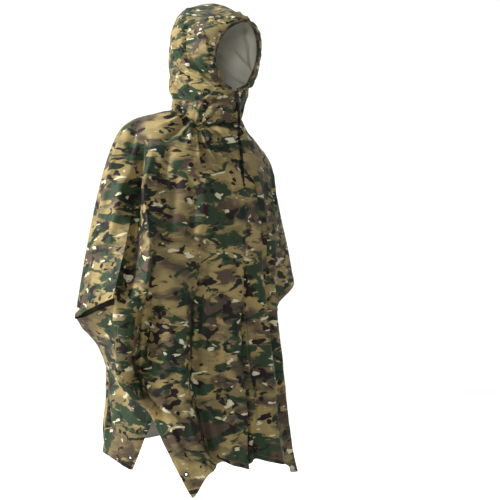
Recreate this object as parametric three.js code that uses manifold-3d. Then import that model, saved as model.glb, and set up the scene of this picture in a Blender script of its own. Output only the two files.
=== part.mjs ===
// Hooded rain poncho that hangs as it does on a wearer, with nobody in it. Millimetres, +Z up.
// The wearer faces -Y, and the wearer's right hand is on -X.
// The origin is the middle of the neck opening, where the wearer's neck and shoulders carry the cloth.
import * as THREE from 'three';
import { mergeVertices } from 'three/addons/utils/BufferGeometryUtils.js';
import Module from 'manifold-3d';

// Cloth and seams
const WALL = 1.6;
const SEAM_GAP = 0.3;
const RIDGE_GAP = 0.7;
const TIP_DROP = 2;

// Grid of each cloth wall. A half runs from a side edge to the panel's middle.
// A flap is the half's outer columns.
const FRONT_HALF_COLUMNS = 22;
const FRONT_FLAP_COLUMNS = 6;
const BACK_HALF_COLUMNS = 17;
const BACK_FLAP_COLUMNS = 4;
const ROWS_ABOVE_CUFF = 12;
const FRONT_ROWS_BELOW_CUFF = 12;
const BACK_ROWS_BELOW_CUFF = 9;
const HOOD_COLUMNS = 14;
const HOOD_ROWS = 13;
const OUTLINE_STEPS = 40;
// Points nearer than this are one point.
const MERGE_DISTANCE = 1e-4;

// The section where the sleeves end, and where the front's section starts to bend towards the cuff's lip
const CUFF_ROW = 7;
const CUFF_BEND_ROW = 4.5;
const BACK_FLAP_ROUNDS_IN = 1.4;

// How far a fold's crest hangs below the rest of the hem, for its height
const HEM_DROP = 0.5;

// Share of a panel's half over which its folds grow from nothing at the shoulder line
const CALM = 0.12;
// Share of a fold's length over which it grows, and over which it ends
const FOLD_END = 0.3;

// Neck seam, drawn down at the wearer's front right
const NECK_DIP = 26;
const NECK_DIP_X = -64;
const NECK_DIP_REACH = 34;
const NECK_DIP_FADE = 70;
const NECK_GAP = 0.7;

// Hood, turned towards the wearer's left above the neck
const HOOD_TURN = 9 * Math.PI / 180;
const HOOD_TURN_HEIGHT = 90;
const CHIN_ROW = 2.15;
const CHANNEL = 8;
const CHANNEL_STATIONS = 15;
const CHANNEL_GAP = 1.75;
const CHANNEL_FOOT_GAP = 1.6;
const CHANNEL_FOOT_ROW = 2.3;
const CHANNEL_TOP_ROW = 6.75;
const CHANNEL_STEPS = 40;
// Places this near on the hood's grid give directions along its edge and ahead of it.
const NEARBY_ROW = 0.1;
const NEARBY_SHARE = 0.04;
const CORD_STEPS = 24;

// Hardware and cord
const TUBE_SIDES = 8;
const DISC_SIDES = 14;
const SEAT_GAP = 0.5;
const GROMMET = 13;
const GROMMET_HOLE = 6;
const GROMMET_HEIGHT = 1.6;
const PIN_LENGTH = 9.6;
const SNAP = 12;
const SNAP_HEIGHT = 2.4;
const SNAP_GAP = 0.8;
const CORD = 3.2;
// The knot's length, its width and depth as shares of that, and how far it stands ahead of its strand
const KNOT = 8;
const KNOT_WIDTH = 0.5;
const KNOT_DEPTH = 0.9;
const KNOT_AHEAD = 2;
const KNOT_SIDES = 10;
const KNOT_RINGS = 8;
const LOCK_LENGTH = 21;
const LOCK_WIDTH = 15;
const LOCK_DEPTH = 10;
const LOCK_BUTTON = 8;
const LOCK_BUTTON_LENGTH = 7;
const LOCK_GAP = 1;

// The fold over the shoulders and arms, from the neck to the cuff points.
const SHOULDER = table(
  ['rightX', 'rightY', 'rightZ', 'leftX', 'leftY', 'leftZ'],
  [
    [-92, 18, 16, 92, 18, 20],
    [-150, 28, 4, 128, 28, -18],
    [-204, 36, -14, 166, 34, -46],
    [-244, 38, -50, 210, 36, -88],
    [-284, 32, -136, 237, 32, -160],
    [-321, 22, -254, 259, 24, -250],
    [-356, 10, -394, 279, 12, -344],
    [-389, -6, -539, 293, 0, -446],
  ]);

// Where the front lip of each cuff ends and the panels are snapped together.
// The back lip ends inside it.
const FRONT_CUFF = { rightX: -362, rightY: -172, rightZ: -483, leftX: 172, leftY: -98, leftZ: -537 };
const BACK_CUFF = { rightX: -340, rightY: -158, rightZ: -498, leftX: 150, leftY: -72, leftZ: -556 };

// The middle of each panel, from the neck to the hem.
// The full columns say how full each quarter of the section is, where 2 is an ellipse.
// The quick columns say how near the edge a corner's droop ends.
const MIDDLE = table(
  [
    'frontY', 'frontZ', 'backY', 'backZ',
    'frontRightFull', 'frontLeftFull', 'backRightFull', 'backLeftFull', 'rightQuick', 'leftQuick',
  ],
  [
    [-96, -24, 84, 34, 2.0, 2.0, 2.0, 2.0, 1.0, 1.0],
    [-124, -80, 118, -10, 2.1, 1.8, 2.0, 2.0, 1.0, 1.0],
    [-148, -132, 140, -66, 2.2, 1.6, 1.9, 1.9, 1.0, 1.0],
    [-164, -184, 158, -124, 2.2, 1.5, 1.75, 1.8, 1.0, 1.0],
    [-180, -250, 174, -200, 2.1, 1.45, 1.6, 1.7, 1.0, 1.0],
    [-192, -322, 186, -288, 2.0, 1.4, 1.5, 1.65, 1.0, 1.0],
    [-202, -398, 194, -386, 1.9, 1.35, 1.4, 1.6, 1.0, 1.0],
    [-210, -486, 200, -492, 1.9, 1.4, 1.35, 1.5, 1.0, 1.0],
    [-222, -580, 204, -586, 2.0, 1.6, 1.5, 1.6, 1.1, 1.0],
    [-230, -668, 207, -670, 2.0, 1.7, 1.7, 1.7, 1.3, 1.05],
    [-235, -742, 209, -742, 2.0, 1.7, 1.8, 1.8, 1.6, 1.1],
    [-238, -806, 211, -802, 2.0, 1.7, 1.8, 1.8, 2.0, 1.15],
    [-241, -862, 213, -854, 2.0, 1.7, 1.8, 1.8, 2.5, 1.2],
    [-244, -914, 216, -900, 2.0, 1.7, 1.8, 1.8, 3.2, 1.25],
  ]);

// The front panel's side edges below the cuffs, where they hang free.
const FRONT_EDGE = table(
  ['rightX', 'rightY', 'rightZ', 'leftX', 'leftY', 'leftZ'],
  [
    [-350, -164, -580, 168, -98, -630],
    [-334, -156, -688, 174, -100, -728],
    [-302, -160, -744, 182, -99, -800],
    [-258, -176, -778, 194, -96, -858],
    [-226, -198, -856, 208, -90, -918],
    [-178, -244, -979, 228, -80, -980],
  ]);

// The back panel's side edges below the cuffs, just inside the front's.
// The second table is the line that it wraps round there.
const BACK_EDGE = table(
  ['rightX', 'rightY', 'rightZ', 'leftX', 'leftY', 'leftZ'],
  [
    [-320, -148, -592, 148, -72, -636],
    [-298, -146, -686, 156, -76, -730],
    [-258, -146, -750, 166, -78, -798],
    [-228, -126, -792, 180, -78, -852],
    [-232, -80, -864, 192, -70, -902],
    [-240, -34, -936, 206, -56, -946],
  ]);
const BACK_SIDE = table(
  ['rightX', 'rightY', 'rightZ', 'leftX', 'leftY', 'leftZ'],
  [
    [-318, 26, -606, 216, 20, -560],
    [-280, 44, -682, 212, 30, -668],
    [-274, 47, -748, 217, 32, -746],
    [-274, 48, -806, 222, 34, -806],
    [-275, 50, -858, 228, 36, -858],
    [-277, 52, -906, 233, 38, -906],
  ]);

// Half of the hood, from the neck seam up to the crown seam. forward is measured from the neck's middle.
const HOOD = table(
  ['frontX', 'frontForward', 'frontZ', 'sideForward', 'sideX', 'backForward', 'backZ', 'arch'],
  [
    [0, 96, -24, -18, 92, -84, 34, 0],
    [0, 114, 18, 10, 97, -90, 78, 0],
    [5, 123, 56, 30, 106, -94, 124, 0],
    [54, 124, 90, 38, 114, -95, 168, 0],
    [78, 130, 146, 42, 118, -90, 216, 4],
    [66, 146, 200, 44, 108, -78, 260, 10],
    [38, 160, 230, 40, 79, -60, 294, 15],
    [0, 166, 243, 36, 0, -38, 316, 22],
  ]);

// Largest folds. across runs from the wearer's right edge, 0, to the left edge, 1.
// down is the section's row.
// height is measured out of the cloth, so a trough's is negative.
// sharp tightens the side towards the left.
const FOLD_COLUMNS = ['acrossTop', 'acrossFoot', 'downFrom', 'downTo', 'height', 'halfWidth', 'sharp'];
const FRONT_FOLDS = table(FOLD_COLUMNS, [
  [0.12, 0.19, 2.6, 7.6, -22, 0.034, 0.4],
  [0.225, 0.20, 3.2, 8.0, 13, 0.026, 0.3],
  [0.25, 0.235, 2.2, 5.4, -11, 0.018, 0.2],
  [0.285, 0.255, 3.2, 6.4, -11, 0.018, 0.2],
  [0.26, 0.175, 6.0, 11.0, -22, 0.034, 0.3],
  [0.345, 0.245, 5.6, 13.0, 14, 0.045, 0.65],
  [0.43, 0.345, 5.0, 13.0, -30, 0.042, 0.2],
  [0.50, 0.462, 5.4, 13.0, 16, 0.036, 0.65],
  [0.54, 0.535, 4.4, 13.0, -22, 0.034, 0.2],
  [0.61, 0.62, 4.6, 13.0, 13, 0.036, 0.4],
  [0.68, 0.70, 4.0, 13.0, -16, 0.035, 0.2],
  [0.75, 0.76, 2.4, 13.0, 9, 0.030, 0.3],
  [0.87, 0.87, 3.0, 8.0, -14, 0.050, 0.2],
]);
const BACK_FOLDS = table(FOLD_COLUMNS, [
  [0.19, 0.17, 3.6, 12.0, -18, 0.045, 0.3],
  [0.27, 0.25, 4.4, 13.0, 14, 0.035, 0.3],
  [0.35, 0.33, 5.0, 13.0, -18, 0.040, 0.3],
  [0.44, 0.43, 3.0, 13.0, 14, 0.040, 0.4],
  [0.52, 0.53, 5.6, 13.0, -24, 0.040, 0.3],
  [0.61, 0.62, 4.2, 13.0, 15, 0.035, 0.4],
  [0.69, 0.70, 5.2, 13.0, -18, 0.040, 0.3],
  [0.77, 0.78, 3.4, 13.0, 14, 0.035, 0.3],
  [0.84, 0.85, 4.0, 12.0, -16, 0.040, 0.3],
]);

// Snap caps, by the grid's column and row on the front panel
const SNAPS = table(['name', 'columnFromEdge', 'row'], [
  ['lip', 3, 11.72],
  ['hip', 8, 14],
  ['thigh', 7, 17],
]);

// The hanging strands' route from the cord lock to the knots, for the middle between the two.
const CORD_ROUTE = [
  [24, -126.5, 30], [28, -125, 20], [32, -123, 10], [35, -120, 0], [37.5, -116.5, -12], [39, -113, -25],
  [39.5, -111.5, -40], [39, -113.5, -55], [38, -118, -70], [36.5, -123.8, -85], [34.5, -131.2, -100],
  [32, -138.6, -115], [29.5, -145, -130], [27, -151.2, -145], [24.5, -156.3, -160], [22, -161.3, -175],
  [20, -165.8, -190],
];
const STRAND_SPACING = 4.4;

// A row of numbers becomes an object with the columns' names.
function table(columns, rows) {
  return rows.map((row) => Object.fromEntries(columns.map((name, i) => [name, row[i]])));
}

function mix(a, b, t) {
  return a + (b - a) * t;
}

function mixPoint(a, b, t) {
  return { x: mix(a.x, b.x, t), y: mix(a.y, b.y, t), z: mix(a.z, b.z, t) };
}

function smooth(t) {
  const s = Math.min(1, Math.max(0, t));
  return s * s * (3 - 2 * s);
}

// A smooth curve through the rows' values of one column.
function through(rows, name, at) {
  const last = rows.length - 1;
  const i = Math.min(last - 1, Math.max(0, Math.floor(at)));
  const t = at - i;
  const [a, b, c, d] = [i - 1, i, i + 1, i + 2].map((k) => rows[Math.min(last, Math.max(0, k))][name]);
  return b + 0.5 * t * (c - a + t * (2 * a - 5 * b + 4 * c - d + t * (3 * (b - c) + d - a)));
}

function pointThrough(rows, side, at) {
  return {
    x: through(rows, `${side}X`, at), y: through(rows, `${side}Y`, at), z: through(rows, `${side}Z`, at),
  };
}

// The point at a share of a line's length.
function alongLine(line, share) {
  const reach = [0];
  for (let i = 1; i < line.length; i += 1) {
    reach.push(reach[i - 1] + Math.hypot(line[i][0] - line[i - 1][0], line[i][1] - line[i - 1][1]));
  }
  const wanted = share * reach[reach.length - 1];
  let i = 1;
  while (i < reach.length - 1 && reach[i] < wanted) i += 1;
  const t = (wanted - reach[i - 1]) / (reach[i] - reach[i - 1]);
  return [mix(line[i - 1][0], line[i][0], t), mix(line[i - 1][1], line[i][1], t)];
}

// A quarter of a rounded section, from a point at the side to the panel's middle.
function quarter(start, middle, share) {
  const power = 2 / middle.full;
  const line = Array.from({ length: OUTLINE_STEPS + 1 }, (_, i) => {
    const angle = Math.PI / 2 * i / OUTLINE_STEPS;
    return [start.x * Math.cos(angle) ** power, start.y + (middle.y - start.y) * Math.sin(angle) ** power];
  });
  const [x, y] = alongLine(line, share);
  return { x, y, z: mix(start.z, middle.z, smooth(share * middle.quick)) };
}

function middleAt(panel, side, down) {
  const full = panel + side[0].toUpperCase() + side.slice(1) + 'Full';
  return {
    y: through(MIDDLE, `${panel}Y`, down), z: through(MIDDLE, `${panel}Z`, down),
    full: through(MIDDLE, full, down), quick: through(MIDDLE, `${side}Quick`, down),
  };
}

// Height of the neck seam over the neck's oval.
function neckHeight(x, y) {
  const neck = SHOULDER[0];
  const side = mix(neck.rightZ, neck.leftZ, (x - neck.rightX) / (neck.leftX - neck.rightX));
  const middle = y < neck.rightY ? 'front' : 'back';
  const share = Math.min(1, (y - neck.rightY) / (MIDDLE[0][`${middle}Y`] - neck.rightY));
  const dip = NECK_DIP * smooth(-y / NECK_DIP_FADE) * Math.exp(-(((x - NECK_DIP_X) / NECK_DIP_REACH) ** 2));
  return mix(side, MIDDLE[0][`${middle}Z`], share * share) - dip;
}

// The front panel before its folds. share runs from the side edge, 0, to the middle, 1.
// The flap, up to flapShare, is the sleeve's front, which ends at the cuff's lip.
// Below, the panel starts at the flap's inner end.
function frontPoint(side, share, down, flapShare) {
  const middle = middleAt('front', side, down);
  const inner = (share - flapShare) / (1 - flapShare);
  if (down > CUFF_ROW) {
    return quarter(pointThrough([FRONT_CUFF, ...FRONT_EDGE], side, down - CUFF_ROW), middle, inner);
  }
  const ridge = pointThrough(SHOULDER, side, down);
  const plain = quarter(ridge, middle, share);
  const bend = smooth((down - CUFF_BEND_ROW) / (CUFF_ROW - CUFF_BEND_ROW));
  if (bend === 0) return plain;
  const tip = pointThrough(SHOULDER, side, CUFF_ROW);
  const cuff = pointThrough([FRONT_CUFF, ...FRONT_EDGE], side, 0);
  const lip = { x: ridge.x + cuff.x - tip.x, y: ridge.y + cuff.y - tip.y, z: ridge.z + cuff.z - tip.z };
  const t = share / flapShare;
  const bent = share < flapShare
    ? { x: mix(ridge.x, lip.x, smooth(t)), y: mix(ridge.y, lip.y, t), z: mix(ridge.z, lip.z, t) }
    : quarter(lip, middle, inner);
  return mixPoint(plain, bent, bend);
}

// The back panel before its folds. Its flap wraps forward under the front panel, below the cuff only.
function backPoint(side, share, down, flapShare) {
  const start = down <= CUFF_ROW ? pointThrough(SHOULDER, side, down)
    : pointThrough([SHOULDER[CUFF_ROW], ...BACK_SIDE], side, down - CUFF_ROW);
  if (share >= flapShare) {
    return quarter(start, middleAt('back', side, down), (share - flapShare) / (1 - flapShare));
  }
  const edge = pointThrough([BACK_CUFF, ...BACK_EDGE], side, Math.max(0, down - CUFF_ROW));
  const flat = 1 - share / flapShare;
  const angle = Math.PI / 2 * flat;
  const round = smooth((down - CUFF_ROW) / BACK_FLAP_ROUNDS_IN);
  return {
    x: mix(start.x, edge.x, mix(flat, 1 - Math.cos(angle), round)),
    y: mix(start.y, edge.y, mix(flat, Math.sin(angle), round)),
    z: mix(start.z, edge.z, smooth(flat)),
  };
}

function foldHeight(folds, across, down) {
  let height = 0;
  for (const fold of folds) {
    const t = (down - fold.downFrom) / (fold.downTo - fold.downFrom);
    if (t <= 0 || t > 1) continue;
    const side = (across - mix(fold.acrossTop, fold.acrossFoot, t)) / fold.halfWidth;
    const spread = side > 0 ? side / (1 - fold.sharp) : side;
    const foot = fold.downTo >= MIDDLE.length - 1 ? 1 : smooth((1 - t) / FOLD_END);
    height += fold.height * smooth(t / FOLD_END) * foot * Math.exp(-spread * spread);
  }
  return height;
}

// Directions out of a grid whose columns run to the left as seen from outside, and whose rows run down.
function gridNormals(grid, present = () => true) {
  const pick = (j, i, or) => (present(j, i) ? grid[j][i] : or);
  return grid.map((line, j) => line.map((here, i) => {
    const left = pick(j, Math.min(i + 1, line.length - 1), here);
    const right = pick(j, Math.max(i - 1, 0), here);
    const below = pick(Math.min(j + 1, grid.length - 1), i, here);
    const above = pick(Math.max(j - 1, 0), i, here);
    return below.clone().sub(above).cross(left.clone().sub(right)).normalize();
  }));
}

// A panel as a grid of points with the folds in it. A cell of the grid is left out where hasCell says so.
function makePanel({ pointAt, folds, halfColumns, flapColumns, rowsBelow, flapAbove }) {
  const flapShare = flapColumns / halfColumns;
  const columns = 2 * halfColumns;
  const rows = ROWS_ABOVE_CUFF + rowsBelow;
  const downAt = (j) => (j <= ROWS_ABOVE_CUFF ? CUFF_ROW * j / ROWS_ABOVE_CUFF
    : CUFF_ROW + (MIDDLE.length - 1 - CUFF_ROW) * (j - ROWS_ABOVE_CUFF) / rowsBelow);
  const inMain = (i) => i >= flapColumns && i <= columns - flapColumns;
  const flapRow = (j) => (flapAbove ? j <= ROWS_ABOVE_CUFF : j >= ROWS_ABOVE_CUFF);
  const hasPoint = (j, i) => inMain(i) || flapRow(j);
  const hasCell = (j, i) => (inMain(i) && inMain(i + 1)) || (flapRow(j) && flapRow(j + 1));
  const base = [];
  for (let j = 0; j <= rows; j += 1) {
    const down = downAt(j);
    base.push(Array.from({ length: columns + 1 }, (_, i) => {
      const onRight = i <= halfColumns;
      const share = (onRight ? i : columns - i) / halfColumns;
      const at = hasPoint(j, i) ? share : flapShare;
      const { x, y, z } = pointAt(onRight ? 'right' : 'left', at, down, flapShare);
      return new THREE.Vector3(x, y, mix(neckHeight(x, y), z, smooth(down)));
    }));
  }
  const normals = gridNormals(base, hasPoint);
  const grid = base.map((line, j) => line.map((point, i) => {
    const share = Math.min(i, columns - i) / halfColumns;
    const fromRidge = flapAbove ? share : share - flapShare;
    const calm = j <= ROWS_ABOVE_CUFF ? smooth(fromRidge / CALM) : 1;
    const height = calm * foldHeight(folds, i / columns, downAt(j));
    const moved = point.clone().addScaledVector(normals[j][i], height);
    moved.z -= HEM_DROP * height * smooth((downAt(j) - CUFF_ROW) / (MIDDLE.length - 1 - CUFF_ROW));
    return moved;
  }));
  return { grid, normals: gridNormals(grid, hasPoint), hasCell, columns, rows, flapColumns };
}

// A closed wall from a grid's points and the directions out of them.
// It has a side face wherever the cloth ends.
function wallGeometry({ grid, normals, hasCell = () => true }) {
  const rows = grid.length;
  const columns = grid[0].length;
  const positions = [];
  const used = new Map();
  const vertex = (layer, j, i) => {
    const key = (layer * rows + j) * columns + i;
    if (!used.has(key)) {
      used.set(key, positions.length / 3);
      positions.push(...grid[j][i].clone().addScaledVector(normals[j][i], -WALL * layer).toArray());
    }
    return used.get(key);
  };
  const index = [];
  const quad = (a, b, c, d) => index.push(a, b, c, a, c, d);
  const cell = (j, i) => j >= 0 && i >= 0 && j < rows - 1 && i < columns - 1 && hasCell(j, i);
  const rim = (j, i, nextJ, nextI) => {
    const corners = [vertex(0, nextJ, nextI), vertex(0, j, i), vertex(1, j, i), vertex(1, nextJ, nextI)];
    if (nextJ + nextI > j + i) quad(...corners);
    else quad(corners[1], corners[2], corners[3], corners[0]);
  };
  for (let j = 0; j < rows - 1; j += 1) {
    for (let i = 0; i < columns - 1; i += 1) {
      if (!cell(j, i)) continue;
      quad(vertex(0, j, i), vertex(0, j + 1, i), vertex(0, j + 1, i + 1), vertex(0, j, i + 1));
      quad(vertex(1, j, i), vertex(1, j, i + 1), vertex(1, j + 1, i + 1), vertex(1, j + 1, i));
      if (!cell(j - 1, i)) rim(j, i + 1, j, i);
      if (!cell(j + 1, i)) rim(j + 1, i, j + 1, i + 1);
      if (!cell(j, i - 1)) rim(j, i, j + 1, i);
      if (!cell(j, i + 1)) rim(j + 1, i + 1, j, i + 1);
    }
  }
  const geometry = new THREE.BufferGeometry();
  geometry.setAttribute('position', new THREE.Float32BufferAttribute(positions, 3));
  geometry.setIndex(index);
  return geometry;
}

const wasm = await Module();
wasm.setup();

function toManifold(geometry) {
  const bare = geometry.clone();
  bare.deleteAttribute('normal');
  bare.deleteAttribute('uv');
  const merged = mergeVertices(bare, MERGE_DISTANCE);
  return new wasm.Manifold(new wasm.Mesh({
    numProp: 3,
    vertProperties: merged.attributes.position.array,
    triVerts: new Uint32Array(merged.index.array),
  }));
}

function toGeometry(solid) {
  const { vertProperties, triVerts } = solid.getMesh();
  const geometry = new THREE.BufferGeometry();
  geometry.setAttribute('position', new THREE.BufferAttribute(vertProperties, 3));
  geometry.setIndex(new THREE.BufferAttribute(triVerts, 1));
  return geometry;
}

const poncho = new THREE.Group();

function add(name, geometry, material) {
  const mesh = new THREE.Mesh(geometry, material);
  mesh.name = name;
  poncho.add(mesh);
  return mesh;
}

function coatedCloth(color) {
  return new THREE.MeshStandardMaterial({ color, roughness: 0.55, metalness: 0 });
}
const blackPlastic = new THREE.MeshStandardMaterial({ color: 0x15161a, roughness: 0.45, metalness: 0 });
const blackCord = new THREE.MeshStandardMaterial({ color: 0x101012, roughness: 0.8, metalness: 0 });
const darkMetal = new THREE.MeshStandardMaterial({ color: 0x3a352c, roughness: 0.35, metalness: 0.9 });

// Front and back panels. The back's columns are turned round, so that both grids face out.
const front = makePanel({
  pointAt: frontPoint, folds: FRONT_FOLDS, halfColumns: FRONT_HALF_COLUMNS, flapColumns: FRONT_FLAP_COLUMNS,
  rowsBelow: FRONT_ROWS_BELOW_CUFF, flapAbove: true,
});
const back = makePanel({
  pointAt: backPoint, folds: BACK_FOLDS, halfColumns: BACK_HALF_COLUMNS, flapColumns: BACK_FLAP_COLUMNS,
  rowsBelow: BACK_ROWS_BELOW_CUFF, flapAbove: false,
});
back.normals = back.normals.map((line) => line.map((normal) => normal.negate()));

// Along the fold over the shoulders both panels end face to face, square to the same direction.
for (let j = 0; j <= ROWS_ABOVE_CUFF; j += 1) {
  for (const [i, k] of [[0, back.flapColumns], [front.columns, back.columns - back.flapColumns]]) {
    const shared = front.normals[j][i].clone().add(back.normals[j][k]).normalize();
    front.normals[j][i].copy(shared);
    back.normals[j][k].copy(shared);
    front.grid[j][i].y -= RIDGE_GAP / 2;
    back.grid[j][k].y += RIDGE_GAP / 2;
  }
}

// At each cuff's lower tip the back panel passes just under the front's corner.
for (let k = 0; k <= back.columns; k += 1) {
  const inFlap = k <= back.flapColumns || k >= back.columns - back.flapColumns;
  if (inFlap) back.grid[ROWS_ABOVE_CUFF][k].z -= TIP_DROP;
}
const { hasCell: backCell, columns: backColumns } = back;
back.grid = back.grid.map((line) => line.reverse());
back.normals = back.normals.map((line) => line.reverse());
back.hasCell = (j, i) => backCell(j, backColumns - 1 - i);

// A lathed piece that sits on a panel at one point of its grid.
// outward is 1 outside the cloth and -1 inside.
function seated(geometry, panel, row, column, outward, gap = SEAT_GAP) {
  const [above, below] = [Math.floor(row), Math.ceil(row)];
  const between = (lines) => lines[above][column].clone().lerp(lines[below][column], row - above);
  const normal = between(panel.normals).normalize().multiplyScalar(outward);
  const turned = geometry.clone();
  turned.applyQuaternion(new THREE.Quaternion().setFromUnitVectors(new THREE.Vector3(0, 1, 0), normal));
  const lift = gap + (outward > 0 ? 0 : WALL);
  const spot = between(panel.grid).addScaledVector(normal, lift);
  turned.translate(spot.x, spot.y, spot.z);
  return turned;
}

function lathed(profile, sides) {
  return new THREE.LatheGeometry(profile.map(([x, y]) => new THREE.Vector2(x, y)), sides);
}

// Profiles as shares of a radius and a height
const SNAP_PROFILE = [[0, 0], [1, 0], [1, 0.4], [0.68, 1], [0, 1]];
const snapCap = lathed(SNAP_PROFILE.map(([r, h]) => [r * SNAP / 2, h * SNAP_HEIGHT]), DISC_SIDES);

// Ring's profile as shares of its width from the hole's edge, and of its height
const RING_PROFILE = [[0, 0], [1, 0], [0.85, 0.8], [0.35, 1], [0, 0.7], [0, 0]];
const RING_WIDTH = (GROMMET - GROMMET_HOLE) / 2;
const grommetRing = lathed(
  RING_PROFILE.map(([r, h]) => [GROMMET_HOLE / 2 + r * RING_WIDTH, h * GROMMET_HEIGHT]), DISC_SIDES);

// Each corner's grommet stands round a hole that is cut through the cloth.
const holePin = new THREE.CylinderGeometry(GROMMET_HOLE / 2, GROMMET_HOLE / 2, PIN_LENGTH, DISC_SIDES);
function addPanel(name, panel, color, corners) {
  let cloth = toManifold(wallGeometry(panel));
  for (const [corner, column] of corners) {
    const row = panel.rows - 1;
    cloth = cloth.subtract(toManifold(seated(holePin, panel, row, column, 1)));
    add(`${name}_grommet_${corner}`, seated(grommetRing, panel, row, column, 1), darkMetal);
  }
  add(`${name}_panel`, toGeometry(cloth), coatedCloth(color));
}
addPanel('front', front, 0x8a8060,
  [['right', front.flapColumns + 1], ['left', front.columns - front.flapColumns - 1]]);
addPanel('back', back, 0x7c7454, [['left', 1], ['right', back.columns - 1]]);

for (const snap of SNAPS) {
  const columns = { right: snap.columnFromEdge, left: front.columns - snap.columnFromEdge };
  for (const [side, column] of Object.entries(columns)) {
    add(`snap_${snap.name}_${side}`, seated(snapCap, front, snap.row, column, 1, SNAP_GAP), darkMetal);
  }
}

// One half of the hood. share runs from the face's edge, 0, to the seam at the back, 1.
// side is -1 on the right.
function hoodPoint(side, share, up) {
  const row = Object.fromEntries(Object.keys(HOOD[0]).map((name) => [name, through(HOOD, name, up)]));
  const line = Array.from({ length: 2 * OUTLINE_STEPS + 1 }, (_, i) => {
    const angle = Math.PI / 2 * i / OUTLINE_STEPS;
    const atFront = i <= OUTLINE_STEPS;
    const end = atFront ? row.frontForward : row.backForward;
    const forward = row.sideForward + (end - row.sideForward) * Math.abs(Math.cos(angle));
    return [mix(atFront ? row.frontX : 0, row.sideX, Math.sin(angle)), forward];
  });
  const [half, forward] = alongLine(line, share);
  const x = side * (Math.max(0, half) + SEAM_GAP / 2);
  const rise = mix(row.frontZ, row.backZ, share) + row.arch * Math.sin(Math.PI * share);
  const z = mix(neckHeight(x, -forward) + NECK_GAP, rise, smooth(up));
  const turn = HOOD_TURN * smooth(z / HOOD_TURN_HEIGHT);
  return new THREE.Vector3(x, -forward, z).applyAxisAngle(new THREE.Vector3(0, 0, 1), turn);
}

const hoodUp = (j) => (HOOD.length - 1) * (1 - j / HOOD_ROWS);
function hoodHalf(side) {
  const grid = [];
  for (let j = 0; j <= HOOD_ROWS; j += 1) {
    const line = [];
    for (let i = 0; i <= HOOD_COLUMNS; i += 1) line.push(hoodPoint(side, i / HOOD_COLUMNS, hoodUp(j)));
    grid.push(line);
  }
  const normals = gridNormals(grid);
  if (side < 0) normals.forEach((line) => line.forEach((normal) => normal.negate()));
  return { grid, normals };
}

// Where the halves meet, they end square to the same direction: at the back, over the crown and below the chin.
const hood = { right: hoodHalf(-1), left: hoodHalf(1) };
for (let j = 0; j <= HOOD_ROWS; j += 1) {
  for (let i = 0; i <= HOOD_COLUMNS; i += 1) {
    const meets = j === 0 || i === HOOD_COLUMNS || (i === 0 && hoodUp(j) <= CHIN_ROW);
    if (!meets) continue;
    const shared = hood.right.normals[j][i].clone().add(hood.left.normals[j][i]).normalize();
    hood.right.normals[j][i].copy(shared);
    hood.left.normals[j][i].copy(shared);
  }
}
hood.right.grid = hood.right.grid.map((line) => line.reverse());
hood.right.normals = hood.right.normals.map((line) => line.reverse());
add('hood_right', wallGeometry(hood.right), coatedCloth(0x847a58));
add('hood_left', wallGeometry(hood.left), coatedCloth(0x847a58));

// Channel round the face, ahead of the hood's edge, from the chin over the brow and back to the chin.
function rimPoint(side, up) {
  const edge = hoodPoint(side, 0, up);
  const along = hoodPoint(side, 0, up + NEARBY_ROW).sub(hoodPoint(side, 0, up - NEARBY_ROW)).normalize();
  const ahead = edge.clone().sub(hoodPoint(side, NEARBY_SHARE, up));
  ahead.addScaledVector(along, -ahead.dot(along)).normalize();
  const gap = CHANNEL_GAP + CHANNEL_FOOT_GAP * smooth(CHANNEL_FOOT_ROW + 1 - up);
  return edge.addScaledVector(ahead, CHANNEL / 2 + gap);
}
const rim = [];
for (let k = 0; k <= CHANNEL_STATIONS; k += 1) {
  rim.push(rimPoint(-1, mix(CHANNEL_FOOT_ROW, CHANNEL_TOP_ROW, k / CHANNEL_STATIONS)));
}
for (let k = CHANNEL_STATIONS; k >= 0; k -= 1) {
  rim.push(rimPoint(1, mix(CHANNEL_FOOT_ROW, CHANNEL_TOP_ROW, k / CHANNEL_STATIONS)));
}

function tube(points, diameter, steps) {
  const section = new THREE.Shape();
  for (let k = 0; k < TUBE_SIDES; k += 1) {
    const angle = 2 * Math.PI * k / TUBE_SIDES;
    const place = [diameter / 2 * Math.cos(angle), diameter / 2 * Math.sin(angle)];
    if (k === 0) section.moveTo(...place);
    else section.lineTo(...place);
  }
  section.closePath();
  return new THREE.ExtrudeGeometry(section, { steps, extrudePath: new THREE.CatmullRomCurve3(points) });
}
add('face_channel', tube(rim, CHANNEL, CHANNEL_STEPS), coatedCloth(0x5c5640));

// Cord lock at the chin, two strands out of it, and a knot on each strand's end
const [lockX, lockY, lockFoot] = CORD_ROUTE[0];
// Profile of the barrel and the button, as shares of the width and the length
const lockProfile = [[0, 0], [0.36, 0], [0.5, 0.12], [0.5, 0.86], [0.4, 1], [0, 1]];
const barrel = lathed(lockProfile.map(([x, y]) => [x * LOCK_WIDTH, y * LOCK_LENGTH]), DISC_SIDES)
  .scale(1, 1, LOCK_DEPTH / LOCK_WIDTH).rotateX(Math.PI / 2)
  .translate(lockX, lockY, lockFoot + LOCK_GAP);
add('cord_lock_barrel', barrel, blackPlastic);
const button = lathed(lockProfile.map(([x, y]) => [x * LOCK_BUTTON, y * LOCK_BUTTON_LENGTH]), DISC_SIDES)
  .rotateX(Math.PI / 2).translate(lockX, lockY, lockFoot + LOCK_LENGTH + LOCK_GAP + SEAM_GAP);
add('cord_lock_button', button, blackPlastic);

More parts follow.
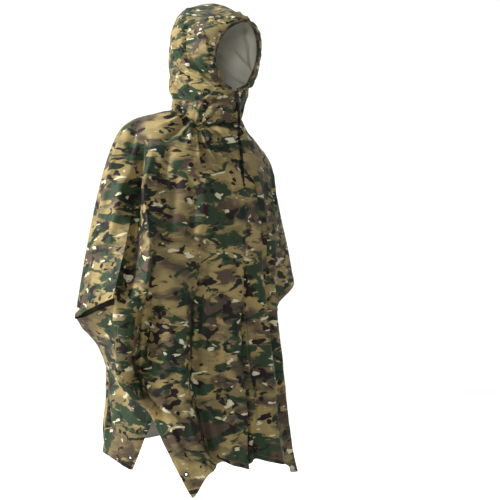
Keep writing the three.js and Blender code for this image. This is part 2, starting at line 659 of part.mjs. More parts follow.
for (const [name, side] of [['right', -1], ['left', 1]]) {
  const strand = CORD_ROUTE.map(([x, y, z]) => new THREE.Vector3(x + side * STRAND_SPACING / 2, y, z));
  add(`drawcord_${name}`, tube(strand, CORD, CORD_STEPS), blackCord);
  const [endX, endY, endZ] = CORD_ROUTE[CORD_ROUTE.length - 1];
  const knot = new THREE.SphereGeometry(KNOT / 2, KNOT_SIDES, KNOT_RINGS).scale(KNOT_WIDTH, KNOT_DEPTH, 1)
    .translate(endX + side * STRAND_SPACING / 2, endY - KNOT_AHEAD, endZ - KNOT / 2 - SEAM_GAP);
  add(`knot_${name}`, knot, blackCord);
}

export default poncho;
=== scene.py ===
"""Hooded rain poncho in camouflage cloth, hanging as it does on a wearer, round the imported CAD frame."""
import math

import bpy
import numpy as np
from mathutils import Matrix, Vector


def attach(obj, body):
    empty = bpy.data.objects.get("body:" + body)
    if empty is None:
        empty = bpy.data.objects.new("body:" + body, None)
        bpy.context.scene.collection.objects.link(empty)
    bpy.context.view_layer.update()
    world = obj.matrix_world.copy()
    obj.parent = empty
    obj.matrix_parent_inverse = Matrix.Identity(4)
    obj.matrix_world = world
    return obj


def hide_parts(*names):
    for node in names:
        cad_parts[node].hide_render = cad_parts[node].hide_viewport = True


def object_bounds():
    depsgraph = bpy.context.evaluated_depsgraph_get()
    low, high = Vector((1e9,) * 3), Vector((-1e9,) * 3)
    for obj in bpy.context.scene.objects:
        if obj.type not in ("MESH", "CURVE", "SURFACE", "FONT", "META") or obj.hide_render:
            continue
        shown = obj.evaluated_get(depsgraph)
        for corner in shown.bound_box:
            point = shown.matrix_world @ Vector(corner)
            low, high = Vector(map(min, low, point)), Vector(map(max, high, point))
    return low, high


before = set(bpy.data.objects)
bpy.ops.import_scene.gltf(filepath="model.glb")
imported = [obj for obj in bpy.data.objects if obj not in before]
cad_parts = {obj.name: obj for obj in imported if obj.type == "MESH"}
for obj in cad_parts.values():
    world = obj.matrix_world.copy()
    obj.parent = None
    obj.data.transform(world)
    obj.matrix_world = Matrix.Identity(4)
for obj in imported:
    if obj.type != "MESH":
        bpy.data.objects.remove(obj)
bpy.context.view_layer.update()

# Sizes and places in this script are in millimetres, and go into Blender's metres through MM.
MM = 0.001

# Photograph's camera: 3 m from the neck's axis, level, at waist height
CAMERA_AZIMUTH = math.radians(-30)
CAMERA_DISTANCE = 3.0
CAMERA_HEIGHT = -0.39
FRAME_WIDTH = 1.375
SENSOR = 36
SHIFT_X = 0.09
SHIFT_Y = 0.02

# Floor and lights
FLOOR_DROP = 0.42
FLOOR_RADIUS = 7.0
WALL_HEIGHT = 6.0

# Cloth: one layer's thickness as it shows, hem width and the stitch line's distance from the edge
CLOTH = 0.8
HEM = 17
HEM_RISE = 0.9
HEM_STITCH = 14
STITCH_PITCH = 3.4
STITCH_LENGTH = 2.5
STITCH_RADIUS = 0.32

# Grid of each panel. A half runs from a side edge to the middle, and its flap is the share nearest the edge.
FRONT_FLAP = 6 / 22
BACK_FLAP = 4 / 17
FRONT_HALF_CELLS = 96
BACK_HALF_CELLS = 92
ROWS_ABOVE_CUFF = 104
ROWS_BELOW_CUFF = 100
HOOD_CELLS = 96
HOOD_ROW_CELLS = 96
EDGE_STEPS = (0, 1.5, 4, 8, 12, 13.2, 14, 14.8, 16, 18)

# The section where the sleeves end, and where the front's section starts to bend towards the cuff's lip
CUFF_ROW = 7
CUFF_BEND_ROW = 4.5
BACK_FLAP_ROUNDS_IN = 1.4
LAST_ROW = 13
OUTLINE_STEPS = 80
TIP_DROP = 2
HEM_DROP = 0.5
CALM = 0.12
FOLD_END = 0.3

# Neck seam, drawn down at the wearer's front right
NECK_DIP = 26
NECK_DIP_X = -64
NECK_DIP_REACH = 34
NECK_DIP_FADE = 70

CREASE_GAIN = 1.9
HOOD_CREASE_GAIN = 2.2
HOOD_BACK_CALM = 0.55

# Hood
HOOD_TURN = math.radians(9)
HOOD_TURN_HEIGHT = 90
CHIN_ROW = 2.15
CHIN_ROUNDED_ROW = 3.0
CHIN_HALF = 54
CHANNEL = 8
CHANNEL_GAP = 1.75
CHANNEL_FOOT_GAP = 1.6
CHANNEL_FOOT_ROW = 2.17
CHANNEL_TOP_ROW = 6.75

# Hardware and cord
GROMMET = 13
GROMMET_HOLE = 6
SNAP = 12
CORD = 3.2
STRAND_SPACING = 4.4
KNOT_REACH = 3.1
LOCK_LENGTH = 21
LOCK_WIDTH = 15
LOCK_DEPTH = 10
LOCK_GAP = 1


def table(columns, rows):
    """Rows of numbers with named columns."""
    return [dict(zip(columns, row)) for row in rows]


# The fold over the shoulders and arms, from the neck to the cuff points
SIDES = ("rightX", "rightY", "rightZ", "leftX", "leftY", "leftZ")
SHOULDER = table(SIDES, [
    [-92, 18, 16, 92, 18, 20],
    [-150, 28, 4, 128, 28, -18],
    [-204, 36, -14, 166, 34, -46],
    [-244, 38, -50, 210, 36, -88],
    [-284, 32, -136, 237, 32, -160],
    [-321, 22, -254, 259, 24, -250],
    [-356, 10, -394, 279, 12, -344],
    [-389, -6, -539, 293, 0, -446],
])

# Lips of the cuffs, the panels' free side edges below them, and the line that the back wraps round there
FRONT_EDGE = table(SIDES, [
    [-362, -172, -483, 172, -98, -537],
    [-350, -164, -580, 168, -98, -630],
    [-334, -156, -688, 174, -100, -728],
    [-302, -160, -744, 182, -99, -800],
    [-258, -176, -778, 194, -96, -858],
    [-226, -198, -856, 208, -90, -918],
    [-178, -244, -979, 228, -80, -980],
])
BACK_EDGE = table(SIDES, [
    [-340, -158, -498, 150, -72, -556],
    [-320, -148, -592, 148, -72, -636],
    [-298, -146, -686, 156, -76, -730],
    [-258, -146, -750, 166, -78, -798],
    [-228, -126, -792, 180, -78, -852],
    [-232, -80, -864, 192, -70, -902],
    [-240, -34, -936, 206, -56, -946],
])
BACK_SIDE = table(SIDES, [
    [-389, -6, -539, 293, 0, -446],
    [-318, 26, -606, 216, 20, -560],
    [-280, 44, -682, 212, 30, -668],
    [-274, 47, -748, 217, 32, -746],
    [-274, 48, -806, 222, 34, -806],
    [-275, 50, -858, 228, 36, -858],
    [-277, 52, -906, 233, 38, -906],
])

# The middle of each panel, how full each quarter of a section is, and how near the edge a corner's droop ends
MIDDLE = table(
    ("frontY", "frontZ", "backY", "backZ", "frontRightFull", "frontLeftFull", "backRightFull", "backLeftFull",
     "rightQuick", "leftQuick"),
    [
        [-96, -24, 84, 34, 2.0, 2.0, 2.0, 2.0, 1.0, 1.0],
        [-124, -80, 118, -10, 2.1, 1.8, 2.0, 2.0, 1.0, 1.0],
        [-148, -132, 140, -66, 2.2, 1.6, 1.9, 1.9, 1.0, 1.0],
        [-164, -184, 158, -124, 2.2, 1.5, 1.75, 1.8, 1.0, 1.0],
        [-180, -250, 174, -200, 2.1, 1.45, 1.6, 1.7, 1.0, 1.0],
        [-192, -322, 186, -288, 2.0, 1.4, 1.5, 1.65, 1.0, 1.0],
        [-202, -398, 194, -386, 1.9, 1.35, 1.4, 1.6, 1.0, 1.0],
        [-210, -486, 200, -492, 1.9, 1.4, 1.35, 1.5, 1.0, 1.0],
        [-222, -580, 204, -586, 2.0, 1.6, 1.5, 1.6, 1.1, 1.0],
        [-230, -668, 207, -670, 2.0, 1.7, 1.7, 1.7, 1.3, 1.05],
        [-235, -742, 209, -742, 2.0, 1.7, 1.8, 1.8, 1.6, 1.1],
        [-238, -806, 211, -802, 2.0, 1.7, 1.8, 1.8, 2.0, 1.15],
        [-241, -862, 213, -854, 2.0, 1.7, 1.8, 1.8, 2.5, 1.2],
        [-244, -914, 216, -900, 2.0, 1.7, 1.8, 1.8, 3.2, 1.25],
    ])

# Half of the hood, from the neck seam up to the crown seam
HOOD = table(
    ("frontX", "frontForward", "frontZ", "sideForward", "sideX", "backForward", "backZ", "arch"),
    [
        [0, 96, -24, -18, 92, -84, 34, 0],
        [0, 114, 18, 10, 97, -90, 78, 0],
        [5, 123, 56, 30, 106, -94, 124, 0],
        [54, 124, 90, 38, 114, -95, 168, 0],
        [78, 130, 146, 42, 118, -90, 216, 4],
        [66, 146, 200, 44, 108, -78, 260, 10],
        [38, 160, 230, 40, 79, -60, 294, 15],
        [0, 166, 243, 36, 0, -38, 316, 22],
    ])

# Folds across a panel. across runs from the wearer's right edge, 0, to the left edge, 1, and down is the row.
# height is measured out of the cloth, and sharp tightens the side towards the left.
FOLD_COLUMNS = ("acrossTop", "acrossFoot", "downFrom", "downTo", "height", "halfWidth", "sharp")
FRONT_FOLDS = table(FOLD_COLUMNS, [
    [0.12, 0.19, 2.6, 7.6, -22, 0.034, 0.4],
    [0.225, 0.20, 3.2, 8.0, 13, 0.026, 0.3],
    [0.25, 0.235, 2.2, 5.4, -11, 0.018, 0.2],
    [0.285, 0.255, 3.2, 6.4, -11, 0.018, 0.2],
    [0.26, 0.175, 6.0, 11.0, -22, 0.034, 0.3],
    [0.345, 0.245, 5.6, 13.0, 14, 0.045, 0.65],
    [0.43, 0.345, 5.0, 13.0, -30, 0.042, 0.2],
    [0.50, 0.462, 5.4, 13.0, 16, 0.036, 0.65],
    [0.54, 0.535, 4.4, 13.0, -22, 0.034, 0.2],
    [0.61, 0.62, 4.6, 13.0, 13, 0.036, 0.4],
    [0.68, 0.70, 4.0, 13.0, -16, 0.035, 0.2],
    [0.75, 0.76, 2.4, 13.0, 9, 0.030, 0.3],
    [0.87, 0.87, 3.0, 8.0, -14, 0.050, 0.2],
])
BACK_FOLDS = table(FOLD_COLUMNS, [
    [0.19, 0.17, 3.6, 12.0, -18, 0.045, 0.3],
    [0.27, 0.25, 4.4, 13.0, 14, 0.035, 0.3],
    [0.35, 0.33, 5.0, 13.0, -18, 0.040, 0.3],
    [0.44, 0.43, 3.0, 13.0, 14, 0.040, 0.4],
    [0.52, 0.53, 5.6, 13.0, -24, 0.040, 0.3],
    [0.61, 0.62, 4.2, 13.0, 15, 0.035, 0.4],
    [0.69, 0.70, 5.2, 13.0, -18, 0.040, 0.3],
    [0.77, 0.78, 3.4, 13.0, 14, 0.035, 0.3],
    [0.84, 0.85, 4.0, 12.0, -16, 0.040, 0.3],
])

# Smaller creases, as lines between two places on a panel: across and down at each end, height, half width in
# millimetres, and how much sharper its left or lower side is.
CREASE_COLUMNS = ("acrossTop", "downTop", "acrossFoot", "downFoot", "height", "halfWidth", "sharp")
FRONT_CREASES = table(CREASE_COLUMNS, [
    [0.29, 0.25, 0.40, 2.6, -4.5, 8, 0.3],
    [0.31, 0.20, 0.47, 2.0, 3.5, 7, 0.4],
    [0.27, 0.20, 0.30, 2.4, 3.5, 7, 0.2],
    [0.25, 0.10, 0.215, 2.8, -4.0, 8, 0.2],
    [0.22, 0.10, 0.15, 2.0, 3.5, 9, 0.3],
    [0.18, 0.15, 0.09, 1.9, -3.5, 9, 0.2],
    [0.36, 0.10, 0.55, 1.3, -3.0, 7, 0.3],
    [0.45, 0.05, 0.62, 1.7, 3.5, 8, 0.3],
    [0.52, 0.05, 0.70, 2.2, -4.0, 9, 0.2],
    [0.60, 0.10, 0.78, 2.0, 3.5, 9, 0.3],
    [0.53, 2.2, 0.515, 6.0, 3.0, 6, 0.6],
    [0.300, 0.15, 0.420, 2.2, 2.8, 4, 0.3],
    [0.305, 0.15, 0.385, 2.4, -3.0, 4, 0.3],
    [0.310, 0.12, 0.450, 1.7, -2.5, 4, 0.3],
    [0.295, 0.20, 0.360, 2.6, 2.5, 4, 0.3],
    [0.285, 0.20, 0.325, 2.2, -2.5, 4, 0.3],
    [0.275, 0.20, 0.255, 2.0, 2.5, 4, 0.3],
    [0.385, 5.4, 0.318, 13.4, -22.0, 19, 0.6],
    [0.515, 6.0, 0.498, 13.4, -17.0, 15, 0.6],
    [0.140, 2.6, 0.192, 7.4, -22.0, 26, 0.6],
    [0.180, 3.2, 0.232, 7.8, 10.0, 13, 0.3],
    [0.250, 6.2, 0.188, 11.4, -20.0, 20, 0.6],
    [0.285, 7.0, 0.215, 11.6, 6.0, 11, 0.3],
    [0.345, 7.6, 0.288, 13.2, 6.0, 9, 0.5],
    [0.430, 6.0, 0.365, 13.4, 8.0, 12, 0.3],
    [0.570, 5.6, 0.560, 13.4, -11.0, 14, 0.55],
    [0.06, 1.6, 0.10, 4.4, -7.0, 15, 0.2],
    [0.03, 3.0, 0.06, 6.6, 4.5, 14, 0.3],
    [0.115, 4.2, 0.10, 6.9, 5.0, 12, 0.4],
    [0.02, 5.3, 0.12, 6.5, -4.0, 10, 0.2],
    [0.38, 3.0, 0.365, 5.4, 4.0, 10, 0.3],
    [0.34, 3.4, 0.33, 5.8, -4.5, 10, 0.2],
    [0.45, 3.6, 0.445, 5.6, -3.5, 11, 0.2],
    [0.48, 2.6, 0.49, 4.8, 3.0, 9, 0.4],
    [0.60, 2.6, 0.60, 4.6, 3.5, 9, 0.4],
    [0.645, 2.0, 0.655, 7.0, 6.5, 10, 0.7],
    [0.15, 7.4, 0.16, 9.6, 4.5, 11, 0.3],
    [0.30, 8.0, 0.25, 11.2, -5.0, 10, 0.3],
    [0.22, 9.0, 0.19, 12.6, 4.5, 10, 0.3],
    [0.285, 10.0, 0.262, 13.2, 3.5, 8, 0.5],
    [0.40, 8.8, 0.372, 13.2, -4.5, 9, 0.2],
    [0.365, 9.5, 0.33, 13.2, 3.5, 8, 0.3],
    [0.45, 7.5, 0.425, 13.2, -3.5, 8, 0.3],
    [0.57, 6.2, 0.575, 11.0, 4.0, 10, 0.4],
    [0.585, 9.0, 0.59, 13.2, -4.5, 10, 0.2],
    [0.65, 7.5, 0.66, 13.2, 4.0, 9, 0.4],
    [0.73, 8.0, 0.735, 13.2, -4.5, 9, 0.3],
    [0.80, 7.6, 0.80, 13.2, 4.0, 9, 0.4],
    [0.78, 3.4, 0.80, 6.8, -5.0, 12, 0.3],
    [0.90, 3.0, 0.88, 6.6, 4.5, 12, 0.3],
    [0.95, 1.6, 0.92, 4.6, -5.0, 13, 0.2],
    [0.83, 5.0, 0.93, 6.6, -4.0, 10, 0.2],
])
BACK_CREASES = table(CREASE_COLUMNS, [
    [0.30, 0.10, 0.24, 2.6, -4.5, 9, 0.2],
    [0.36, 0.10, 0.33, 2.9, 3.5, 8, 0.3],
    [0.43, 0.10, 0.41, 2.6, -3.5, 8, 0.3],
    [0.52, 0.10, 0.53, 3.0, 3.0, 8, 0.3],
    [0.60, 0.10, 0.64, 2.6, -4.0, 9, 0.2],
    [0.68, 0.10, 0.75, 2.4, 4.0, 9, 0.3],
    [0.27, 2.2, 0.29, 6.4, 5.5, 14, 0.3],
    [0.33, 3.0, 0.345, 6.8, -5.0, 13, 0.2],
    [0.48, 3.6, 0.49, 7.4, 4.5, 12, 0.3],
    [0.56, 2.8, 0.565, 7.0, -5.0, 12, 0.2],
    [0.65, 3.0, 0.645, 6.6, 4.5, 12, 0.3],
    [0.73, 3.2, 0.72, 7.2, -5.0, 13, 0.2],
    [0.24, 5.0, 0.31, 7.2, 4.5, 14, 0.2],
    [0.76, 4.6, 0.70, 7.0, 4.5, 14, 0.2],
    [0.22, 7.6, 0.215, 13.2, 4.5, 10, 0.4],
    [0.30, 8.4, 0.30, 13.2, -4.5, 10, 0.2],
    [0.39, 7.0, 0.385, 13.2, 4.0, 9, 0.4],
    [0.48, 8.2, 0.48, 13.2, -4.0, 9, 0.2],
    [0.57, 7.6, 0.575, 13.2, 4.0, 9, 0.4],
    [0.65, 8.6, 0.66, 13.2, -4.5, 10, 0.2],
    [0.735, 7.4, 0.74, 13.2, 4.0, 9, 0.4],
    [0.81, 8.6, 0.81, 13.2, -4.0, 9, 0.2],
    [0.06, 7.6, 0.05, 11.0, 4.0, 10, 0.2],
    [0.14, 7.8, 0.12, 12.6, -5.0, 12, 0.3],
    [0.11, 7.2, 0.17, 8.8, 5.0, 12, 0.3],
    [0.89, 7.8, 0.90, 12.6, -4.0, 10, 0.3],
    [0.94, 8.2, 0.95, 12.0, 3.5, 9, 0.2],
])

# Creases of the hood: share from the face, 0, to the back, 1, and the row up from the neck, 0, to the crown, 7
HOOD_COLUMNS = ("shareTop", "upTop", "shareFoot", "upFoot", "height", "halfWidth", "sharp")
HOOD_CREASES = {
    "right": table(HOOD_COLUMNS, [
        [0.42, 5.6, 0.24, 3.4, -6.0, 8, 0.3],
        [0.24, 3.4, 0.06, 2.5, -5.0, 7, 0.3],
        [0.52, 4.6, 0.20, 2.9, 4.0, 9, 0.3],
        [0.62, 3.4, 0.12, 2.0, -4.0, 9, 0.3],
        [0.80, 2.2, 0.40, 0.3, 5.0, 7, 0.4],
        [0.72, 2.4, 0.36, 0.5, -5.5, 7, 0.3],
        [0.92, 1.8, 0.48, 0.1, -4.0, 8, 0.3],
        [0.60, 1.9, 0.34, 0.2, 4.0, 6, 0.3],
        [0.04, 1.8, 0.26, 0.2, -4.5, 7, 0.3],
        [0.02, 1.3, 0.22, 0.1, 4.5, 6, 0.4],
        [0.12, 2.0, 0.29, 0.3, 3.5, 6, 0.3],
        [0.03, 6.2, 0.22, 6.35, -3.5, 5, 0.3],
        [0.03, 6.5, 0.30, 6.6, 3.0, 5, 0.3],
        [0.02, 5.6, 0.20, 5.9, -3.0, 5, 0.3],
        [0.60, 6.2, 0.34, 5.2, 3.5, 10, 0.2],
        [0.85, 4.8, 0.56, 3.6, -3.5, 12, 0.2],
        [0.70, 2.3, 0.38, 0.2, 3.0, 3.5, 0.3],
        [0.60, 2.2, 0.36, 0.2, -3.5, 3.5, 0.3],
        [0.54, 1.6, 0.33, 0.15, 3.0, 3, 0.3],
        [0.08, 1.7, 0.28, 0.2, 3.0, 3.5, 0.3],
        [0.16, 1.9, 0.30, 0.2, -3.0, 3.5, 0.3],
        [0.01, 0.9, 0.24, 0.1, -3.0, 4, 0.3],
        [0.10, 0.9, 0.27, 0.1, 2.5, 3, 0.3],
        [0.30, 4.6, 0.20, 3.4, 3.0, 4, 0.3],
        [0.14, 4.8, 0.05, 4.2, 2.5, 4, 0.3],
        [0.12, 3.6, 0.03, 3.1, -2.5, 4, 0.3],
    ]),
    "left": table(HOOD_COLUMNS, [
        [0.40, 5.4, 0.22, 3.3, -3.0, 15, 0.3],
        [0.22, 3.3, 0.05, 2.5, -3.0, 12, 0.3],
        [0.55, 4.4, 0.20, 2.8, 4.0, 9, 0.3],
        [0.60, 3.2, 0.10, 1.9, -4.0, 9, 0.3],
        [0.78, 2.3, 0.46, 0.3, 4.5, 8, 0.3],
        [0.68, 2.0, 0.40, 0.2, -4.5, 8, 0.3],
        [0.90, 1.6, 0.62, 0.1, -4.0, 8, 0.3],
        [0.30, 1.9, 0.24, 0.1, 3.5, 7, 0.3],
        [0.10, 1.9, 0.12, 0.2, -4.0, 7, 0.3],
        [0.04, 1.6, 0.03, 0.1, 3.5, 6, 0.3],
        [0.03, 6.2, 0.22, 6.3, -3.5, 5, 0.3],
        [0.03, 6.5, 0.30, 6.6, 3.0, 5, 0.3],
        [0.02, 5.5, 0.20, 5.8, -3.0, 5, 0.3],
        [0.62, 6.1, 0.36, 5.1, 3.5, 10, 0.2],
        [0.84, 4.9, 0.55, 3.7, -3.5, 12, 0.2],
    ]),
}

# Snaps, in the front panel's share of a half and row
SNAPS = table(("name", "share", "down"), [
    ["lip", 3 / 22, 6.84],
    ["hip", 8 / 22, 8.0],
    ["thigh", 7 / 22, 9.5],
])

# The hanging strands' route from the cord lock to the knots, for the middle between the two
CORD_ROUTE = [
    [24, -126.5, 30], [28, -125, 20], [32, -123, 10], [35, -120, 0], [37.5, -116.5, -12], [39, -113, -25],
    [39.5, -111.5, -40], [39, -113.5, -55], [38, -118, -70], [36.5, -123.8, -85], [34.5, -131.2, -100],
    [32, -138.6, -115], [29.5, -145, -130], [27, -151.2, -145], [24.5, -156.3, -160], [22, -161.3, -175],
    [20, -165.8, -190],
]


def mix(a, b, t):
    return a + (b - a) * t


def smooth(t):
    s = np.clip(t, 0, 1)
    return s * s * (3 - 2 * s)


def through(rows, name, at):
    """A smooth curve through the rows' values of one column."""
    last = len(rows) - 1
    i = min(last - 1, max(0, math.floor(at)))
    t = at - i
    a, b, c, d = (rows[min(last, max(0, k))][name] for k in (i - 1, i, i + 1, i + 2))
    return b + 0.5 * t * (c - a + t * (2 * a - 5 * b + 4 * c - d + t * (3 * (b - c) + d - a)))


def point_through(rows, side, at):
    return np.array([through(rows, side + axis, at) for axis in "XYZ"])


def link(obj):
    bpy.context.scene.collection.objects.link(obj)
    return obj


def piece(name, mesh, slot, *nodes):
    """A shown piece of the poncho, with the CAD nodes that it stands for."""
    obj = link(bpy.data.objects.new(name, mesh))
    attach(obj, "root")
    if nodes:
        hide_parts(*nodes)
    return obj


def make_camera():
    data = bpy.data.cameras.new("camera")
    data.sensor_width = SENSOR
    data.lens = SENSOR * CAMERA_DISTANCE / FRAME_WIDTH
    data.shift_x = SHIFT_X
    data.shift_y = SHIFT_Y
    camera = link(bpy.data.objects.new("camera", data))
    camera.location = (
        CAMERA_DISTANCE * math.sin(CAMERA_AZIMUTH), -CAMERA_DISTANCE * math.cos(CAMERA_AZIMUTH), CAMERA_HEIGHT)
    camera.rotation_euler = (math.pi / 2, 0, CAMERA_AZIMUTH)
    bpy.context.scene.camera = camera


def mesh_from(name, points, faces, materials=(), normals=None, indices=None):
    """A smooth-shaded mesh from points in millimetres."""
    mesh = bpy.data.meshes.new(name)
    mesh.from_pydata((np.asarray(points) * MM).tolist(), [], [tuple(int(i) for i in f) for f in faces])
    mesh.polygons.foreach_set("use_smooth", np.ones(len(mesh.polygons), dtype=bool))
    for material in materials:
        mesh.materials.append(material)
    if indices is not None:
        mesh.polygons.foreach_set("material_index", np.asarray(indices, dtype=np.int32))
    mesh.update()
    if normals is not None:
        mesh.normals_split_custom_set_from_vertices(np.asarray(normals).tolist())
    return mesh


def frames_along(points):
    """Tangents and two crosswise directions along a line, without twist."""
    points = np.asarray(points, dtype=float)
    tangents = np.gradient(points, axis=0)
    tangents /= np.linalg.norm(tangents, axis=1, keepdims=True)
    cross = np.cross(tangents[0], (0, 0, 1) if abs(tangents[0][2]) < 0.9 else (0, 1, 0))
    sides = []
    for tangent in tangents:
        cross = cross - tangent * np.dot(cross, tangent)
        cross = cross / np.linalg.norm(cross)
        sides.append(cross)
    sides = np.array(sides)
    return tangents, sides, np.cross(tangents, sides)


def dense(points, count):
    """Points evenly along a smooth curve through the given ones."""
    rows = [{"X": p[0], "Y": p[1], "Z": p[2]} for p in points]
    fine = np.array([point_through(rows, "", at) for at in np.linspace(0, len(rows) - 1, 12 * len(rows))])
    reach = np.concatenate([[0], np.cumsum(np.linalg.norm(np.diff(fine, axis=0), axis=1))])
    wanted = np.linspace(0, reach[-1], count)
    return np.stack([np.interp(wanted, reach, fine[:, k]) for k in range(3)], axis=1)


def tube_mesh(name, line, radius_at, sides, material, closed=False):
    """A tube along a line. radius_at gives the radius from the place along, the angle and the count of points."""
    _, first, second = frames_along(line)
    count = len(line)
    angles = 2 * np.pi * np.arange(sides) / sides
    along, around = np.meshgrid(np.arange(count), angles, indexing="ij")
    radius = radius_at(along / (count - 1), around)
    ring = np.cos(around)[..., None] * first[:, None, :] + np.sin(around)[..., None] * second[:, None, :]
    points = (line[:, None, :] + radius[..., None] * ring).reshape(-1, 3)
    faces = []
    for i in range(count - (0 if closed else 1)):
        a, b = i * sides, (i + 1) % count * sides
        faces += [(a + k, a + (k + 1) % sides, b + (k + 1) % sides, b + k) for k in range(sides)]
    if not closed:
        faces += [tuple(reversed(range(sides))), tuple(range((count - 1) * sides, count * sides))]
    return mesh_from(name, points, faces, [material])


def nodes_of(name, roughness, specular=0.4):
    """A new material with its shader, and short ways to make nodes and links."""
    material = bpy.data.materials.new(name)
    material.use_nodes = True
    tree = material.node_tree
    shader = tree.nodes["Principled BSDF"]
    shader.inputs["Roughness"].default_value = roughness
    shader.inputs["Specular IOR Level"].default_value = specular

    def make(kind, **values):
        node = tree.nodes.new("ShaderNode" + kind)
        for key, value in values.items():
            if hasattr(node, key):
                setattr(node, key, value)
            else:
                node.inputs[key.replace("_", " ")].default_value = value
        return node

    return material, shader, make, tree.links.new


def ramped(make, join, value, low, high):
    """0 below low and 1 above high, with a soft step between."""
    node = make("MapRange", interpolation_type="SMOOTHSTEP")
    node.inputs["From Min"].default_value = low
    node.inputs["From Max"].default_value = high
    join(value, node.inputs["Value"])
    return node.outputs["Result"]


def blended(make, join, factor, below, above):
    """One colour over another by a factor."""
    node = make("Mix", data_type="RGBA")
    join(factor, node.inputs["Factor"])
    for socket, colour in (("A", below), ("B", above)):
        target = [s for s in node.inputs if s.name == socket and s.type == "RGBA"][0]
        if isinstance(colour, tuple):
            target.default_value = (*colour, 1)
        else:
            join(colour, target)
    return [s for s in node.outputs if s.type == "RGBA"][0]


# Camouflage colours
TAN = (0.248, 0.188, 0.076)
KHAKI = (0.142, 0.110, 0.049)
BROWN = (0.062, 0.042, 0.028)
GREEN = (0.020, 0.036, 0.017)
DARK_GREEN = (0.009, 0.016, 0.009)
DARK_BROWN = (0.011, 0.006, 0.006)
CREAM = (0.45, 0.42, 0.29)

# Each layer of the camouflage: colour, blobs to the metre, threshold, softness, stretch sideways, detail, warp
CAMOUFLAGE = table(("colour", "scale", "level", "soft", "stretch", "detail", "warp"), [
    [KHAKI, 9.0, 0.42, 0.170, 1.7, 3.0, 0.5],
    [BROWN, 10.0, 0.470, 0.130, 1.6, 3.0, 0.6],
    [GREEN, 11.5, 0.510, 0.055, 1.8, 3.0, 0.7],
    [TAN, 16.0, 0.605, 0.060, 1.9, 2.5, 0.6],
    [DARK_GREEN, 15.0, 0.580, 0.040, 1.8, 2.6, 0.7],
    [DARK_BROWN, 26.0, 0.620, 0.020, 1.3, 1.2, 0.3],
    [CREAM, 27.0, 0.668, 0.024, 1.8, 1.0, 0.4],
])

# Streaks that feather the blobs' edges sideways: how fine they are along each axis, and how far they reach
STREAKS = (14, 14, 50)
STREAK_REACH = (0.05, 0.05, 0.004)


def camouflage(make, join, shift, fine):
    """Colour of a generic camouflage that keeps its scale in the cloth's own space."""
    coordinates = make("TexCoord").outputs["Object"]
    streaks = make("Mapping")
    streaks.inputs["Scale"].default_value = STREAKS
    join(coordinates, streaks.inputs["Vector"])
    feather = make("TexNoise", Scale=1.0, Detail=2.0)
    join(streaks.outputs["Vector"], feather.inputs["Vector"])
    centred = make("VectorMath", operation="SUBTRACT")
    centred.inputs[1].default_value = (0.5, 0.5, 0.5)
    join(feather.outputs["Color"], centred.inputs[0])
    spread = make("VectorMath", operation="MULTIPLY_ADD")
    spread.inputs[1].default_value = STREAK_REACH
    join(centred.outputs[0], spread.inputs[0])
    join(coordinates, spread.inputs[2])
    feathered = spread.outputs[0]
    colour = TAN
    for k, layer in enumerate(CAMOUFLAGE):
        place = make("Mapping")
        place.inputs["Location"].default_value = (shift + 3.1 * k, 1.7 * k + shift, 2.3 * k)
        place.inputs["Scale"].default_value = (fine, fine, layer["stretch"] * fine)
        join(feathered, place.inputs["Vector"])
        noise = make("TexNoise", Scale=layer["scale"], Detail=layer["detail"], Roughness=0.52,
                     Distortion=layer["warp"])
        join(place.outputs["Vector"], noise.inputs["Vector"])
        mask = ramped(make, join, noise.outputs["Fac"], layer["level"], layer["level"] + layer["soft"])
        colour = blended(make, join, mask, colour, layer["colour"])
    spots = make("TexVoronoi", Scale=30.0)
    join(coordinates, spots.inputs["Vector"])
    rare = make("TexNoise", Scale=9.0, Detail=1.0)
    join(coordinates, rare.inputs["Vector"])
    near = ramped(make, join, spots.outputs["Distance"], 0.23, 0.19)
    where = ramped(make, join, rare.outputs["Fac"], 0.50, 0.52)
    both = make("Math", operation="MULTIPLY")
    join(near, both.inputs[0])
    join(where, both.inputs[1])
    return blended(make, join, both.outputs[0], colour, DARK_BROWN), coordinates


def cloth_bump(make, join, shader, coordinates, wrinkle):
    """Weave, and the small crumples that a coated cloth keeps."""
    weave = make("TexNoise", Scale=900.0, Detail=1.0)
    join(coordinates, weave.inputs["Vector"])
    long_folds = make("Mapping")
    long_folds.inputs["Scale"].default_value = (1, 1, 0.35)
    join(coordinates, long_folds.inputs["Vector"])
    crumple = make("TexNoise", Scale=22.0, Detail=4.0, Roughness=0.45)
    join(long_folds.outputs["Vector"], crumple.inputs["Vector"])
    fine = make("Bump", Strength=0.12, Distance=0.0004)
    join(weave.outputs["Fac"], fine.inputs["Height"])
    broad = make("Bump", Strength=wrinkle, Distance=0.006)
    join(crumple.outputs["Fac"], broad.inputs["Height"])
    join(fine.outputs["Normal"], broad.inputs["Normal"])
    join(broad.outputs["Normal"], shader.inputs["Normal"])


def camouflage_cloth(name, shift, fine):
    material, shader, make, join = nodes_of(name, 0.66, 0.16)
    colour, coordinates = camouflage(make, join, shift, fine)
    join(colour, shader.inputs["Base Color"])
    cloth_bump(make, join, shader, coordinates, 0.5)
    return material


def coated_inside(name, dark, pale):
    """Grey waterproof coating with faint streaks."""
    material, shader, make, join = nodes_of(name, 0.65, 0.25)
    coordinates = make("TexCoord").outputs["Object"]
    streaks = make("TexNoise", Scale=16.0, Detail=3.0, Distortion=0.4)
    join(coordinates, streaks.inputs["Vector"])
    factor = ramped(make, join, streaks.outputs["Fac"], 0.3, 0.7)
    join(blended(make, join, factor, dark, pale), shader.inputs["Base Color"])
    cloth_bump(make, join, shader, coordinates, 0.2)
    return material


